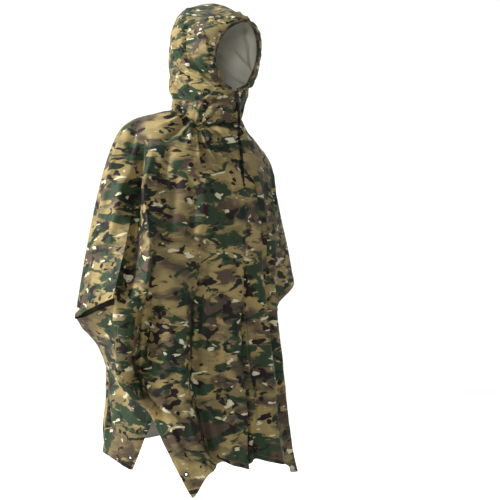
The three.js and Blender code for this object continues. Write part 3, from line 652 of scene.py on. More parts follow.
def channel_cloth_painted_shade():
    """The same cloth where it is gathered small, so its blobs are narrow; its colours are kept dark as painted shade
    of the gathers.
    """
    material, shader, make, join = nodes_of("channel_cloth_painted_shade", 0.66, 0.2)
    coordinates = make("TexCoord").outputs["Object"]
    gathered = make("TexNoise", Scale=42.0, Detail=2.0)
    join(coordinates, gathered.inputs["Vector"])
    brown = ramped(make, join, gathered.outputs["Fac"], 0.40, 0.50)
    green = ramped(make, join, gathered.outputs["Fac"], 0.54, 0.58)
    colour = blended(make, join, green, blended(make, join, brown, KHAKI, BROWN), DARK_GREEN)
    join(colour, shader.inputs["Base Color"])
    cloth_bump(make, join, shader, coordinates, 0.5)
    return material


def thread():
    material, shader, make, join = nodes_of("thread", 0.75, 0.2)
    coordinates = make("TexCoord").outputs["Object"]
    twist = make("TexWave", Scale=700.0, Distortion=1.0)
    join(coordinates, twist.inputs["Vector"])
    factor = ramped(make, join, twist.outputs["Fac"], 0.2, 0.8)
    join(blended(make, join, factor, (0.14, 0.115, 0.065), (0.24, 0.20, 0.12)), shader.inputs["Base Color"])
    return material


def braided_cord():
    material, shader, make, join = nodes_of("braided_cord", 0.85, 0.08)
    coordinates = make("TexCoord").outputs["Object"]
    yarn = make("TexNoise", Scale=600.0, Detail=2.0)
    join(coordinates, yarn.inputs["Vector"])
    factor = ramped(make, join, yarn.outputs["Fac"], 0.35, 0.65)
    join(blended(make, join, factor, (0.003, 0.003, 0.003), (0.010, 0.010, 0.010)), shader.inputs["Base Color"])
    bump = make("Bump", Strength=0.3, Distance=0.0003)
    join(yarn.outputs["Fac"], bump.inputs["Height"])
    join(bump.outputs["Normal"], shader.inputs["Normal"])
    return material


def moulded_plastic():
    material, shader, make, join = nodes_of("moulded_plastic", 0.5, 0.25)
    coordinates = make("TexCoord").outputs["Object"]
    grain = make("TexNoise", Scale=900.0, Detail=2.0)
    join(coordinates, grain.inputs["Vector"])
    factor = ramped(make, join, grain.outputs["Fac"], 0.3, 0.7)
    join(blended(make, join, factor, (0.004, 0.004, 0.004), (0.009, 0.009, 0.009)), shader.inputs["Base Color"])
    bump = make("Bump", Strength=0.2, Distance=0.0002)
    join(grain.outputs["Fac"], bump.inputs["Height"])
    join(bump.outputs["Normal"], shader.inputs["Normal"])
    return material


def worn_metal():
    material, shader, make, join = nodes_of("worn_metal", 0.38, 0.5)
    coordinates = make("TexCoord").outputs["Object"]
    wear = make("TexNoise", Scale=260.0, Detail=4.0)
    join(coordinates, wear.inputs["Vector"])
    factor = ramped(make, join, wear.outputs["Fac"], 0.52, 0.68)
    join(blended(make, join, factor, (0.030, 0.026, 0.021), (0.20, 0.165, 0.11)), shader.inputs["Base Color"])
    shader.inputs["Metallic"].default_value = 0.85
    return material


def pale_floor():
    material, shader, make, join = nodes_of("pale_floor", 0.9, 0.1)
    coordinates = make("TexCoord").outputs["Object"]
    mottle = make("TexNoise", Scale=1.5, Detail=2.0)
    join(coordinates, mottle.inputs["Vector"])
    join(blended(make, join, mottle.outputs["Fac"], (0.86, 0.86, 0.86), (0.90, 0.90, 0.90)),
         shader.inputs["Base Color"])
    return material


def braid(along, around):
    """Radius of a braided cord: two sets of yarns that wind opposite ways."""
    turns = 46
    left = np.cos(4 * around + 2 * np.pi * turns * along)
    right = np.cos(4 * around - 2 * np.pi * turns * along)
    return CORD / 2 * (1 + 0.05 * np.maximum(left, right) - 0.03)


def make_cords(material):
    """Two hanging strands with a knot on the end of each."""
    for name, side in (("right", -1), ("left", 1)):
        route = [[x + side * STRAND_SPACING / 2, y, z] for x, y, z in CORD_ROUTE]
        line = dense(route, 420)
        strand = piece(f"drawcord_{name}_braid", tube_mesh(f"drawcord_{name}_braid", line, braid, 16, material),
                       "cord", f"drawcord_{name}")
        end = np.array(route[-1]) + (0, -CORD * 0.6, -KNOT_REACH - 0.4)
        turn = np.linspace(0, 2 * np.pi, 73)[:-1]
        trefoil = np.stack([
            (np.sin(turn) + 2 * np.sin(2 * turn)) / 3, -np.sin(3 * turn) / 2.4, (np.cos(turn) - 2 * np.cos(2 * turn)) / 3,
        ], axis=1)
        loop = end + trefoil * (KNOT_REACH * 0.8, KNOT_REACH * 0.7, KNOT_REACH)
        knot = piece(
            f"knot_{name}_tied",
            tube_mesh(f"knot_{name}_tied", loop, lambda a, b: np.full(a.shape, CORD * 0.36), 12, material, True),
            "cord", f"knot_{name}")


def value_noise(x, y, seed):
    """Smooth noise between -1 and 1 over two coordinates, a unit apart in its cells."""
    lattice = np.random.default_rng(seed).uniform(-1, 1, (64, 64))
    i, j = np.floor(x).astype(int), np.floor(y).astype(int)
    s, t = smooth(x - i), smooth(y - j)
    near = mix(lattice[i % 64, j % 64], lattice[(i + 1) % 64, j % 64], s)
    far = mix(lattice[i % 64, (j + 1) % 64], lattice[(i + 1) % 64, (j + 1) % 64], s)
    return mix(near, far, t)


def quarter(start, middle, share):
    """A quarter of a rounded section, from a point at the side to the panel's middle."""
    power = 2 / middle["full"]
    angle = np.linspace(0, np.pi / 2, OUTLINE_STEPS + 1)
    x = start[0] * np.clip(np.cos(angle), 0, 1) ** power
    y = start[1] + (middle["y"] - start[1]) * np.sin(angle) ** power
    reach = np.concatenate([[0], np.cumsum(np.hypot(np.diff(x), np.diff(y)))])
    reach /= reach[-1]
    z = mix(start[2], middle["z"], smooth(share * middle["quick"]))
    return np.stack([np.interp(share, reach, x), np.interp(share, reach, y), z], axis=-1)


def middle_at(panel, side, down):
    return {
        "y": through(MIDDLE, f"{panel}Y", down), "z": through(MIDDLE, f"{panel}Z", down),
        "full": through(MIDDLE, f"{panel}{side.capitalize()}Full", down),
        "quick": through(MIDDLE, f"{side}Quick", down),
    }


def neck_height(x, y):
    """Height of the neck seam over the neck's oval."""
    neck = SHOULDER[0]
    side = mix(neck["rightZ"], neck["leftZ"], (x - neck["rightX"]) / (neck["leftX"] - neck["rightX"]))
    ahead = y < neck["rightY"]
    reach = np.where(ahead, MIDDLE[0]["frontY"], MIDDLE[0]["backY"]) - neck["rightY"]
    share = np.minimum(1, (y - neck["rightY"]) / reach)
    dip = NECK_DIP * smooth(-y / NECK_DIP_FADE) * np.exp(-((x - NECK_DIP_X) / NECK_DIP_REACH) ** 2)
    return mix(side, np.where(ahead, MIDDLE[0]["frontZ"], MIDDLE[0]["backZ"]), share * share) - dip


def front_row(side, share, down):
    """One row of the front panel before its folds."""
    middle = middle_at("front", side, down)
    inner = np.clip((share - FRONT_FLAP) / (1 - FRONT_FLAP), 0, 1)
    if down > CUFF_ROW:
        return quarter(point_through(FRONT_EDGE, side, down - CUFF_ROW), middle, inner)
    ridge = point_through(SHOULDER, side, down)
    plain = quarter(ridge, middle, share)
    bend = smooth((down - CUFF_BEND_ROW) / (CUFF_ROW - CUFF_BEND_ROW))
    if bend == 0:
        return plain
    lip = ridge + point_through(FRONT_EDGE, side, 0) - point_through(SHOULDER, side, CUFF_ROW)
    t = np.clip(share / FRONT_FLAP, 0, 1)
    flap = np.stack([mix(ridge[0], lip[0], smooth(t)), mix(ridge[1], lip[1], t), mix(ridge[2], lip[2], t)], axis=-1)
    bent = np.where((share < FRONT_FLAP)[:, None], flap, quarter(lip, middle, inner))
    return mix(plain, bent, bend)


def back_row(side, share, down):
    """One row of the back panel before its folds. Its flap wraps forward under the front below the cuff."""
    if down <= CUFF_ROW:
        start = point_through(SHOULDER, side, down)
    else:
        start = point_through(BACK_SIDE, side, down - CUFF_ROW)
    inner = np.clip((share - BACK_FLAP) / (1 - BACK_FLAP), 0, 1)
    main = quarter(start, middle_at("back", side, down), inner)
    edge = point_through(BACK_EDGE, side, max(0, down - CUFF_ROW))
    flat = np.clip(1 - share / BACK_FLAP, 0, 1)
    angle = np.pi / 2 * flat
    rounded = smooth((down - CUFF_ROW) / BACK_FLAP_ROUNDS_IN)
    flap = np.stack([
        mix(start[0], edge[0], mix(flat, 1 - np.cos(angle), rounded)),
        mix(start[1], edge[1], mix(flat, np.sin(angle), rounded)),
        mix(start[2], edge[2], smooth(flat)),
    ], axis=-1)
    return np.where((share < BACK_FLAP)[:, None], flap, main)


def fold_height(folds, across, down):
    height = np.zeros_like(across)
    for fold in folds:
        t = (down - fold["downFrom"]) / (fold["downTo"] - fold["downFrom"])
        side = (across - mix(fold["acrossTop"], fold["acrossFoot"], t)) / fold["halfWidth"]
        spread = np.where(side > 0, side / (1 - fold["sharp"]), side)
        foot = 1 if fold["downTo"] >= LAST_ROW else smooth((1 - t) / FOLD_END)
        inside = (t > 0) & (t <= 1.0001)
        height += inside * fold["height"] * smooth(t / FOLD_END) * foot * np.exp(-spread * spread)
    return height


def crease_height(creases, names, a, b, width, length):
    """Soft uneven creases along lines between two places. width and length turn the coordinates into millimetres."""
    height = np.zeros_like(a)
    for k, crease in enumerate(creases):
        a0, b0, a1, b1 = (crease[name] for name in names)
        run_a, run_b = (a1 - a0) * width, (b1 - b0) * length
        gone_a, gone_b = (a - a0) * width, (b - b0) * length
        square = run_a ** 2 + run_b ** 2
        t = (run_a * gone_a + run_b * gone_b) / square
        off = (run_b * gone_a - run_a * gone_b) / np.sqrt(square)
        off = off + crease["halfWidth"] * 0.7 * value_noise(3 * t + 5, a * 0 + k, 90 + k)
        spread = off / crease["halfWidth"]
        spread = np.where(off > 0, spread / (1 - crease["sharp"]), spread)
        ends = smooth((t + 0.05) / 0.3) * smooth((1.05 - t) / 0.3)
        uneven = 1 + 0.3 * value_noise(4 * t + 9, a * 0 + k, 50 + k)
        height += crease["height"] * ends * uneven * np.exp(-spread ** 2)
    return height


def arc(points, axis):
    """Distance along a grid's lines from their first point."""
    steps = np.linalg.norm(np.diff(points, axis=axis), axis=-1)
    zero = np.zeros_like(np.take(steps, [0], axis=axis))
    return np.concatenate([zero, np.cumsum(steps, axis=axis)], axis=axis)


def grid_normals(points):
    across = np.gradient(points, axis=1)
    down = np.gradient(points, axis=0)
    normals = np.cross(down, across)
    return normals / np.maximum(np.linalg.norm(normals, axis=-1, keepdims=True), 1e-9)


def even_and_edge(count, low, high, unit, edges):
    """Values from low to high in even steps, with the hem's steps from the given ends. unit is a value's length."""
    values = set(np.linspace(low, high, count + 1).round(6))
    for edge, towards in edges:
        values = {v for v in values if abs(v - edge) * unit > EDGE_STEPS[-1] + 2 or v in (low, high)}
        values |= {round(edge + towards * step / unit, 6) for step in EDGE_STEPS}
    return np.array(sorted(values))


def panel_grid(row, folds, creases, flap, cells, flap_above, seed):
    """Points of a panel with its folds, creases and hem, and where it has cells."""
    half = even_and_edge(cells, 0, 1, 640, [(flap, 1), (0, 1)])
    share = np.concatenate([half, half[-2::-1]])
    across = np.concatenate([half / 2, 1 - half[-2::-1] / 2])
    downs = np.concatenate([
        even_and_edge(ROWS_ABOVE_CUFF, 0, CUFF_ROW, 80, [(CUFF_ROW, -1)])[:-1],
        even_and_edge(ROWS_BELOW_CUFF, CUFF_ROW, LAST_ROW, 80, [(LAST_ROW, -1)]),
    ])
    middle = len(half) - 1
    in_main = share >= flap - 1e-6
    base = []
    for down in downs:
        has_flap = (down <= CUFF_ROW + 1e-6) if flap_above else (down >= CUFF_ROW - 1e-6)
        at = share if has_flap else np.maximum(share, flap)
        line = np.concatenate([row("right", at[:middle + 1], down), row("left", at[middle + 1:], down)])
        line[:, 2] = mix(neck_height(line[:, 0], line[:, 1]), line[:, 2], smooth(down))
        base.append(line)
    base = np.array(base)
    outward = 1 if flap_above else -1
    normals = outward * grid_normals(base)
    grid_across, grid_down = np.meshgrid(across, downs)
    width = arc(base, 1)[:, -1:]
    from_ridge = (share if flap_above else share - flap)[None, :]
    calm = np.where(grid_down <= CUFF_ROW, smooth(from_ridge / CALM), 1)
    height = fold_height(folds, grid_across, grid_down)
    drop = HEM_DROP * height * calm * smooth((grid_down - CUFF_ROW) / (LAST_ROW - CUFF_ROW))
    names = ("acrossTop", "downTop", "acrossFoot", "downFoot")
    height += CREASE_GAIN * crease_height(creases, names, grid_across, grid_down, width, 80)
    metres_across = grid_across * width / 1000
    height += 2.0 * value_noise(metres_across * 16 + 3, grid_down * 0.7, seed) * smooth(grid_down / 2)
    height += 1.0 * value_noise(metres_across * 38 + 7, grid_down * 1.6, seed + 1) * smooth(grid_down)
    height += 0.6 * value_noise(metres_across * 60 + 7, grid_down * 5, seed + 2)
    height *= calm * smooth(grid_down / 0.15)
    points = base + height[..., None] * normals
    points[..., 2] -= drop
    if not flap_above:
        at_tip = (np.abs(grid_down - CUFF_ROW) < 1e-6) & (share[None, :] <= flap + 1e-6)
        points[..., 2] -= TIP_DROP * at_tip
    lower = grid_down[:-1] >= CUFF_ROW - 1e-6
    flap_cells = ~lower if flap_above else lower
    main_cells = in_main[:-1] & in_main[1:]
    has_cell = main_cells[None, :] | flap_cells[:, :-1]
    return {
        "points": points, "cells": has_cell, "outward": outward, "share": share, "downs": downs, "flap": flap,
        "middle": middle, "flap_above": flap_above, "across": grid_across, "down": grid_down,
    }


def edge_distance(panel):
    """Distance along the cloth from its nearest hemmed edge, in millimetres."""
    points, downs, share, flap = panel["points"], panel["downs"], panel["share"], panel["flap"]
    down = arc(points, 0)
    along = arc(points, 1)
    cuff = int(np.argmin(np.abs(downs - CUFF_ROW)))
    above = np.arange(len(downs))[:, None] <= cuff
    outer = (share < flap + 1e-6)[None, :]
    far = 1e9
    to_hem = down[-1:, :] - down
    to_lip = np.where(above & outer, down[cuff:cuff + 1, :] - down, far)
    first = int(np.argmin(np.abs(share[:panel["middle"]] - flap))) if panel["flap_above"] else 0
    last = len(share) - 1 - first
    to_right = along - along[:, first:first + 1]
    to_left = along[:, last:last + 1] - along
    if panel["flap_above"]:
        sides = np.where(above, far, np.minimum(to_right, to_left))
        return np.minimum(np.minimum(to_hem, to_lip), np.abs(sides))
    top = np.where(~above | (np.arange(len(downs))[:, None] == cuff), down - down[cuff:cuff + 1, :], far)
    to_top = np.where((share < flap - 1e-6)[None, :], np.abs(top), far)
    sides = np.where(above & (np.arange(len(downs))[:, None] < cuff), far, np.minimum(to_right, to_left))
    return np.minimum(np.minimum(to_hem, to_top), np.abs(sides))


def raise_hem(panel, distance):
    """A folded hem stands a layer proud, and its stitching pulls a groove into it."""
    normals = panel["outward"] * grid_normals(panel["points"])
    rise = HEM_RISE * smooth((HEM - distance) / 1.5) - 0.7 * HEM_RISE * np.exp(-((distance - HEM_STITCH) / 1.1) ** 2)
    pucker = 0.5 * value_noise(panel["across"] * 130, panel["down"] * 9, 77) * smooth((HEM + 8 - distance) / 12)
    panel["points"] = panel["points"] + ((rise + pucker) * smooth(panel["down"] / 0.3))[..., None] * normals


def cell_normals(points, cells, outward):
    """Sum of the face directions round each point of the grid."""
    a, b = points[1:, :-1] - points[:-1, :-1], points[:-1, 1:] - points[:-1, :-1]
    c, d = points[:-1, 1:] - points[1:, 1:], points[1:, :-1] - points[1:, 1:]
    faces = outward * (np.cross(a, b) + np.cross(c, d)) * cells[..., None]
    total = np.zeros_like(points)
    for j in (0, 1):
        for i in (0, 1):
            total[j:j + faces.shape[0], i:i + faces.shape[1]] += faces
    return total


def unit(vectors):
    return vectors / np.maximum(np.linalg.norm(vectors, axis=-1, keepdims=True), 1e-9)


def shell(name, points, cells, outward, normals, materials, holes=()):
    """A closed shell of two layers over a grid, with a rim wherever the cloth ends and a round hole at each place."""
    rows, columns = points.shape[:2]
    cells = cells.copy()
    blocks = []
    for j, i, reach in holes:
        cells[j - reach:j + reach, i - reach:i + reach] = False
        ring = [(j - reach + k, i - reach) for k in range(2 * reach)]
        ring += [(j + reach, i - reach + k) for k in range(2 * reach)]
        ring += [(j + reach - k, i + reach) for k in range(2 * reach)]
        ring += [(j - reach, i + reach - k) for k in range(2 * reach)]
        blocks.append((j, i, reach, ring))
    both = np.stack([points, points - CLOTH * normals]).reshape(-1, 3)
    shade = np.stack([normals, -normals]).reshape(-1, 3)
    layer = rows * columns
    at = lambda j, i: j * columns + i
    faces = []
    kinds = []

    def add(quad, kind):
        faces.append(quad if outward > 0 else quad[::-1])
        kinds.append(kind)

    in_hole = np.zeros((rows + 1, columns + 1), dtype=bool)
    for j, i, reach, _ in blocks:
        in_hole[j - reach + 1:j + reach + 1, i - reach + 1:i + reach + 1] = True
    padded = np.zeros((rows + 1, columns + 1), dtype=bool)
    padded[1:rows, 1:columns] = cells
    filled = padded | in_hole
    for j, i in np.argwhere(cells):
        add((at(j, i), at(j + 1, i), at(j + 1, i + 1), at(j, i + 1)), 0)
        add((layer + at(j, i), layer + at(j, i + 1), layer + at(j + 1, i + 1), layer + at(j + 1, i)), 1)
        edges = (
            (not filled[j, i + 1], at(j, i + 1), at(j, i)), (not filled[j + 2, i + 1], at(j + 1, i), at(j + 1, i + 1)),
            (not filled[j + 1, i], at(j, i), at(j + 1, i)), (not filled[j + 1, i + 2], at(j + 1, i + 1), at(j, i + 1)),
        )
        for free, p, q in edges:
            if free:
                add((q, p, layer + p, layer + q), 0)
    extra, extra_shade = [], []
    for j, i, reach, ring in blocks:
        centre, normal = points[j, i], normals[j, i]
        first = len(both) + len(extra)
        count = len(ring)
        for depth in (0, 1):
            for rj, ri in ring:
                radial = points[rj, ri] - centre
                radial = unit(radial - normal * np.dot(radial, normal))
                extra.append(centre + radial * (GROMMET_HOLE / 2 + 0.6) - depth * CLOTH * normal)
                extra_shade.append(normal if depth == 0 else -normal)
        for k in range(count):
            m = (k + 1) % count
            p, q = at(*ring[k]), at(*ring[m])
            inner_p, inner_q = first + k, first + m
            add((p, q, inner_q, inner_p), 0)
            add((layer + q, layer + p, inner_p + count, inner_q + count), 1)
            add((inner_p, inner_q, inner_q + count, inner_p + count), 0)
    if extra:
        both = np.concatenate([both, extra])
        shade = np.concatenate([shade, extra_shade])
    faces = np.array(faces)
    used, index = np.unique(faces, return_inverse=True)
    return mesh_from(name, both[used], index.reshape(faces.shape), materials, shade[used], kinds)


def stitch_mesh(name, lines, material):
    """Short raised stitches along lines of points and directions out of the cloth."""
    points, faces = [], []
    for line, normals in lines:
        reach = np.concatenate([[0], np.cumsum(np.linalg.norm(np.diff(line, axis=0), axis=1))])
        count = int(reach[-1] / STITCH_PITCH)
        centres = np.linspace(STITCH_PITCH / 2, reach[-1] - STITCH_PITCH / 2, max(count, 1))
        spot = np.stack([np.interp(centres, reach, line[:, k]) for k in range(3)], axis=1)
        ahead = np.stack([np.interp(centres + 0.5, reach, line[:, k]) for k in range(3)], axis=1)
        out = unit(np.stack([np.interp(centres, reach, normals[:, k]) for k in range(3)], axis=1))
        along = unit(ahead - spot)
        side = np.cross(along, out)
        for p, a, s, o in zip(spot, along, side, out):
            first = len(points)
            for end, size in ((-0.5, 0.35), (-0.3, 1), (0.3, 1), (0.5, 0.35)):
                for turn in range(5):
                    angle = 2 * math.pi * turn / 5
                    ring = math.cos(angle) * s + math.sin(angle) * o
                    points.append(p + a * end * STITCH_LENGTH + STITCH_RADIUS * size * ring + o * STITCH_RADIUS * 0.5)
            for ring in range(3):
                for turn in range(5):
                    nxt = (turn + 1) % 5
                    low, high = first + 5 * ring, first + 5 * (ring + 1)
                    faces.append((low + turn, high + turn, high + nxt, low + nxt))
            faces.append(tuple(first + turn for turn in range(5)))
            faces.append(tuple(first + 15 + turn for turn in reversed(range(5))))
    return mesh_from(name, points, faces, [material])


def column_at(points, normals, j, offset, from_start, first, last):
    """Point and direction at a distance along one row from its first or last column."""
    line = points[j, first:last + 1] if from_start else points[j, first:last + 1][::-1]
    out = normals[j, first:last + 1] if from_start else normals[j, first:last + 1][::-1]
    reach = np.concatenate([[0], np.cumsum(np.linalg.norm(np.diff(line, axis=0), axis=1))])
    return ([np.interp(offset, reach, line[:, k]) for k in range(3)],
            [np.interp(offset, reach, out[:, k]) for k in range(3)])


def hem_lines(panel, normals):
    """Stitch lines along the hems of a panel, as points and directions."""
    points, share, downs = panel["points"], panel["share"], panel["downs"]
    cuff = int(np.argmin(np.abs(downs - CUFF_ROW)))
    flap_columns = int(np.argmin(np.abs(share[:panel["middle"]] - panel["flap"])))
    first = flap_columns if panel["flap_above"] else 0
    last = len(share) - 1 - first
    turned, turned_normals = points.transpose(1, 0, 2), normals.transpose(1, 0, 2)
    lines = []

    def gather(items):
        lines.append((np.array([i[0] for i in items]), np.array([i[1] for i in items])))

    inset = 2
    bottom = [column_at(turned, turned_normals, i, HEM_STITCH, False, cuff, len(downs) - 1)
              for i in range(first + inset, last + 1 - inset)]
    gather(bottom)
    for from_start in (True, False):
        gather([column_at(points, normals, j, HEM_STITCH, from_start, first, last)
                for j in range(cuff + 1, len(downs) - 8)])
    if panel["flap_above"]:
        for span in (range(1, first + 1), range(last, len(share) - 1)):
            gather([column_at(turned, turned_normals, i, HEM_STITCH, False, 0, cuff) for i in span])
    else:
        for span in (range(0, flap_columns - 1), range(len(share) - flap_columns + 1, len(share))):
            gather([column_at(turned, turned_normals, i, HEM_STITCH, True, cuff, len(downs) - 1) for i in span])
    return lines


def nearest(values, wanted):
    return int(np.argmin(np.abs(np.asarray(values) - wanted)))


def lathe_mesh(name, profile, sides, origin, normal, material, cap=True):
    """A turned piece on an axis along normal, from a profile of radius and height."""
    normal = Vector(normal).normalized()
    turn = Vector((0, 0, 1)).rotation_difference(normal).to_matrix()
    points, faces = [], []
    for radius, height in profile:
        for k in range(sides):
            angle = 2 * math.pi * k / sides
            points.append(np.array(turn @ Vector((radius * math.cos(angle), radius * math.sin(angle), height))) + origin)
    rings = len(profile)
    for r in range(rings if not cap else rings - 1):
        low, high = r * sides, (r + 1) % rings * sides
        faces += [(low + k, low + (k + 1) % sides, high + (k + 1) % sides, high + k) for k in range(sides)]
    if cap:
        faces += [tuple(reversed(range(sides))), tuple(range((rings - 1) * sides, rings * sides))]
    return mesh_from(name, points, faces, [material])


SNAP_PROFILE = [(r * SNAP, h) for r, h in (
    (0.49, -0.3), (0.5, 0.3), (0.49, 0.9), (0.46, 1.3), (0.40, 1.55), (0.34, 1.5), (0.30, 1.2), (0.24, 1.1),
    (0.19, 1.35), (0.13, 1.6), (0.06, 1.7), (0.02, 1.72))]
GROMMET_PROFILE = [
    (GROMMET_HOLE / 2, -1.2), (GROMMET_HOLE / 2 - 0.2, 0.2), (GROMMET_HOLE / 2 + 0.3, 1.2), (GROMMET_HOLE / 2 + 1.3, 1.7),
    (GROMMET / 2 - 1.2, 1.2), (GROMMET / 2 - 0.2, 0.5), (GROMMET / 2, 0.1), (GROMMET / 2, -1.2)]


def make_panels(materials, thread_material, metal):
    front = panel_grid(front_row, FRONT_FOLDS, FRONT_CREASES, FRONT_FLAP, FRONT_HALF_CELLS, True, 11)
    back = panel_grid(back_row, BACK_FOLDS, BACK_CREASES, BACK_FLAP, BACK_HALF_CELLS, False, 23)
    for panel in (front, back):
        raise_hem(panel, edge_distance(panel))
        panel["normals"] = cell_normals(panel["points"], panel["cells"], panel["outward"])
    share_ridge_normals(front, back)
    grommets = {"front": ("right", "left"), "back": ("right", "left")}
    made = {}
    for name, panel in (("front", front), ("back", back)):
        panel["normals"] = unit(panel["normals"])
        holes, rings = [], []
        row = nearest(panel["downs"], LAST_ROW - 0.5)
        step = np.linalg.norm(panel["points"][row, panel["middle"]] - panel["points"][row, panel["middle"] + 1])
        inset = panel["flap"] + 1 / 22 if name == "front" else 1 / 17
        for side in grommets[name]:
            column = nearest(panel["share"][:panel["middle"]], inset)
            if side == "left":
                column = len(panel["share"]) - 1 - column
            around = np.linalg.norm(panel["points"][row, column] - panel["points"][row, column + 1])
            reach = max(1, math.ceil(5.6 / max(min(around, step), 1)))
            holes.append((row, column, reach))
            rings.append((side, panel["points"][row, column], panel["normals"][row, column]))
        body = piece(f"{name}_cloth", shell(
            f"{name}_cloth", panel["points"], panel["cells"], panel["outward"], panel["normals"], materials, holes),
            "cloth", f"{name}_panel")
        stitches = piece(f"{name}_hem_stitches",
                         stitch_mesh(f"{name}_hem_stitches", hem_lines(panel, panel["normals"]), thread_material), "cloth")
        trim = [stitches]
        for side, place, normal in rings:
            trim.append(piece(f"{name}_grommet_{side}_ring", lathe_mesh(
                f"{name}_grommet_{side}_ring", GROMMET_PROFILE, 40, place, normal, metal, False),
                "metal", f"{name}_grommet_{side}"))
        made[name] = (body, trim)
    for snap in SNAPS:
        for side in ("right", "left"):
            row = nearest(front["downs"], snap["down"])
            column = nearest(front["share"][:front["middle"]], snap["share"])
            if side == "left":
                column = len(front["share"]) - 1 - column
            made["front"][1].append(piece(f"snap_{snap['name']}_{side}_cap", lathe_mesh(
                f"snap_{snap['name']}_{side}_cap", SNAP_PROFILE, 32, front["points"][row, column],
                front["normals"][row, column], metal), "metal", f"snap_{snap['name']}_{side}"))
    for name, flat in (("front", (1.40, 1.08)), ("back", (1.40, 1.06))):
        body, trim = made[name]
    return front, back


def share_ridge_normals(front, back):
    """Front and back are one length of cloth over the shoulders, so they shade as one along that fold."""
    cuff_rows = int(np.argmin(np.abs(front["downs"] - CUFF_ROW)))
    back_first = int(np.argmin(np.abs(back["share"][:back["middle"]] - BACK_FLAP)))
    columns = ((0, back_first), (len(front["share"]) - 1, len(back["share"]) - 1 - back_first))
    for j in range(cuff_rows + 1):
        for i, k in columns:
            shared = front["normals"][j, i] + back["normals"][j, k]
            front["normals"][j, i] = shared
            back["normals"][j, k] = shared


def hood_row(side, share, up):
    """One row of half of the hood, from the face's edge to the seam at the back."""
    row = {name: through(HOOD, name, up) for name in HOOD[0]}
    if up < CHIN_ROUNDED_ROW:
        from_chin = max(0, up - CHIN_ROW) / (CHIN_ROUNDED_ROW - CHIN_ROW)
        row["frontX"] = CHIN_HALF * math.sqrt(from_chin * (2 - from_chin))
    angle = np.pi / 2 * np.arange(2 * OUTLINE_STEPS + 1) / OUTLINE_STEPS
    at_front = np.arange(2 * OUTLINE_STEPS + 1) <= OUTLINE_STEPS
    end = np.where(at_front, row["frontForward"], row["backForward"])
    forward = row["sideForward"] + (end - row["sideForward"]) * np.abs(np.cos(angle))
    half = np.maximum(0, mix(np.where(at_front, row["frontX"], 0), row["sideX"], np.sin(angle)))
    reach = np.concatenate([[0], np.cumsum(np.hypot(np.diff(half), np.diff(forward)))])
    reach /= max(reach[-1], 1e-9)
    x = side * (np.interp(share, reach, half) + 0.05)
    y = -np.interp(share, reach, forward)
    rise = mix(row["frontZ"], row["backZ"], share) + row["arch"] * np.sin(np.pi * share)
    z = mix(neck_height(x, y), rise, smooth(up))
    turn = HOOD_TURN * smooth(z / HOOD_TURN_HEIGHT)
    return np.stack([x * np.cos(turn) - y * np.sin(turn), x * np.sin(turn) + y * np.cos(turn), z], axis=-1)


def hood_half(name, side, materials):
    ups = even_and_edge(HOOD_ROW_CELLS, 0, 7, 50, [(7, -1), (0, 1)])[::-1]
    shares = even_and_edge(HOOD_CELLS, 0, 1, 300, [(0, 1), (1, -1)])
    base = np.array([hood_row(side, shares, up) for up in ups])
    normals = side * grid_normals(base)
    share, up = np.meshgrid(shares, ups)
    width = np.maximum(arc(base, 1)[:, -1:], 60)
    names = ("shareTop", "upTop", "shareFoot", "upFoot")
    height = HOOD_CREASE_GAIN * crease_height(HOOD_CREASES[name], names, share, up, width, 50)
    height *= 1 - HOOD_BACK_CALM * smooth((share - 0.5) / 0.3)
    height += 1.6 * value_noise(share * 7, up * 1.3, 40 + side)
    height += 0.8 * value_noise(share * 17, up * 3.1, 44 + side)
    gather = np.exp(-up / 0.5)
    height += 2.0 * gather * value_noise(share * 42, up * 1.5, 47 + side)
    pleat = np.exp(-share / 0.10) * smooth((up - 2.2) / 1.0)
    height += 1.8 * pleat * value_noise(up * 7.5, share * 2, 51 + side)
    height *= smooth(up / 0.15)
    rim_puff = np.exp(-share / 0.05) * smooth((up - CHIN_ROW) / 0.5)
    crown = arc(base[::-1], 0)[::-1]
    to_crown = crown[0:1] - crown
    seam = np.minimum(to_crown, (width - arc(base, 1)))
    chin_seam = np.where(up < CHIN_ROW, arc(base, 1), 1e9)
    seam = np.minimum(seam, chin_seam)
    height = height * smooth(seam / 14) + 1.5 * rim_puff
    height -= 1.6 * np.exp(-(seam / 2.2) ** 2) - 0.5 * np.exp(-((seam - 5.5) / 2.5) ** 2)
    points = base + height[..., None] * normals
    cells = np.ones((len(ups) - 1, len(shares) - 1), dtype=bool)
    shading = unit(cell_normals(points, cells, side))
    body = piece(f"hood_{name}_cloth", shell(f"hood_{name}_cloth", points, cells, side, shading, materials),
                 "cloth", f"hood_{name}")
    lines = []
    back_line = [column_at(points, shading, j, 6.5, False, 0, len(shares) - 1) for j in range(4, len(ups) - 2)]
    lines.append((np.array([b[0] for b in back_line]), np.array([b[1] for b in back_line])))
    turned, turned_shading = points.transpose(1, 0, 2), shading.transpose(1, 0, 2)
    crown_line = [column_at(turned, turned_shading, i, 6.5, True, 0, len(ups) - 1) for i in range(6, len(shares) - 6)]
    lines.append((np.array([b[0] for b in crown_line]), np.array([b[1] for b in crown_line])))
    neck_line = [column_at(turned, turned_shading, i, 5.0, False, 0, len(ups) - 1) for i in range(2, len(shares) - 2)]
    lines.append((np.array([b[0] for b in neck_line]), np.array([b[1] for b in neck_line])))
    return body, lines


def rim_point(side, up):
    """Middle of the channel round the face, ahead of the hood's edge."""
    edge, behind = hood_row(side, np.array([0, 0.04]), up)
    along = unit(hood_row(side, np.array([0]), up + 0.1)[0] - hood_row(side, np.array([0]), up - 0.1)[0])
    ahead = edge - behind
    ahead = unit(ahead - along * np.dot(ahead, along))
    gap = CHANNEL_GAP + CHANNEL_FOOT_GAP * smooth(CHANNEL_FOOT_ROW + 1 - up)
    return edge + ahead * (CHANNEL / 2 + gap - 1.2)


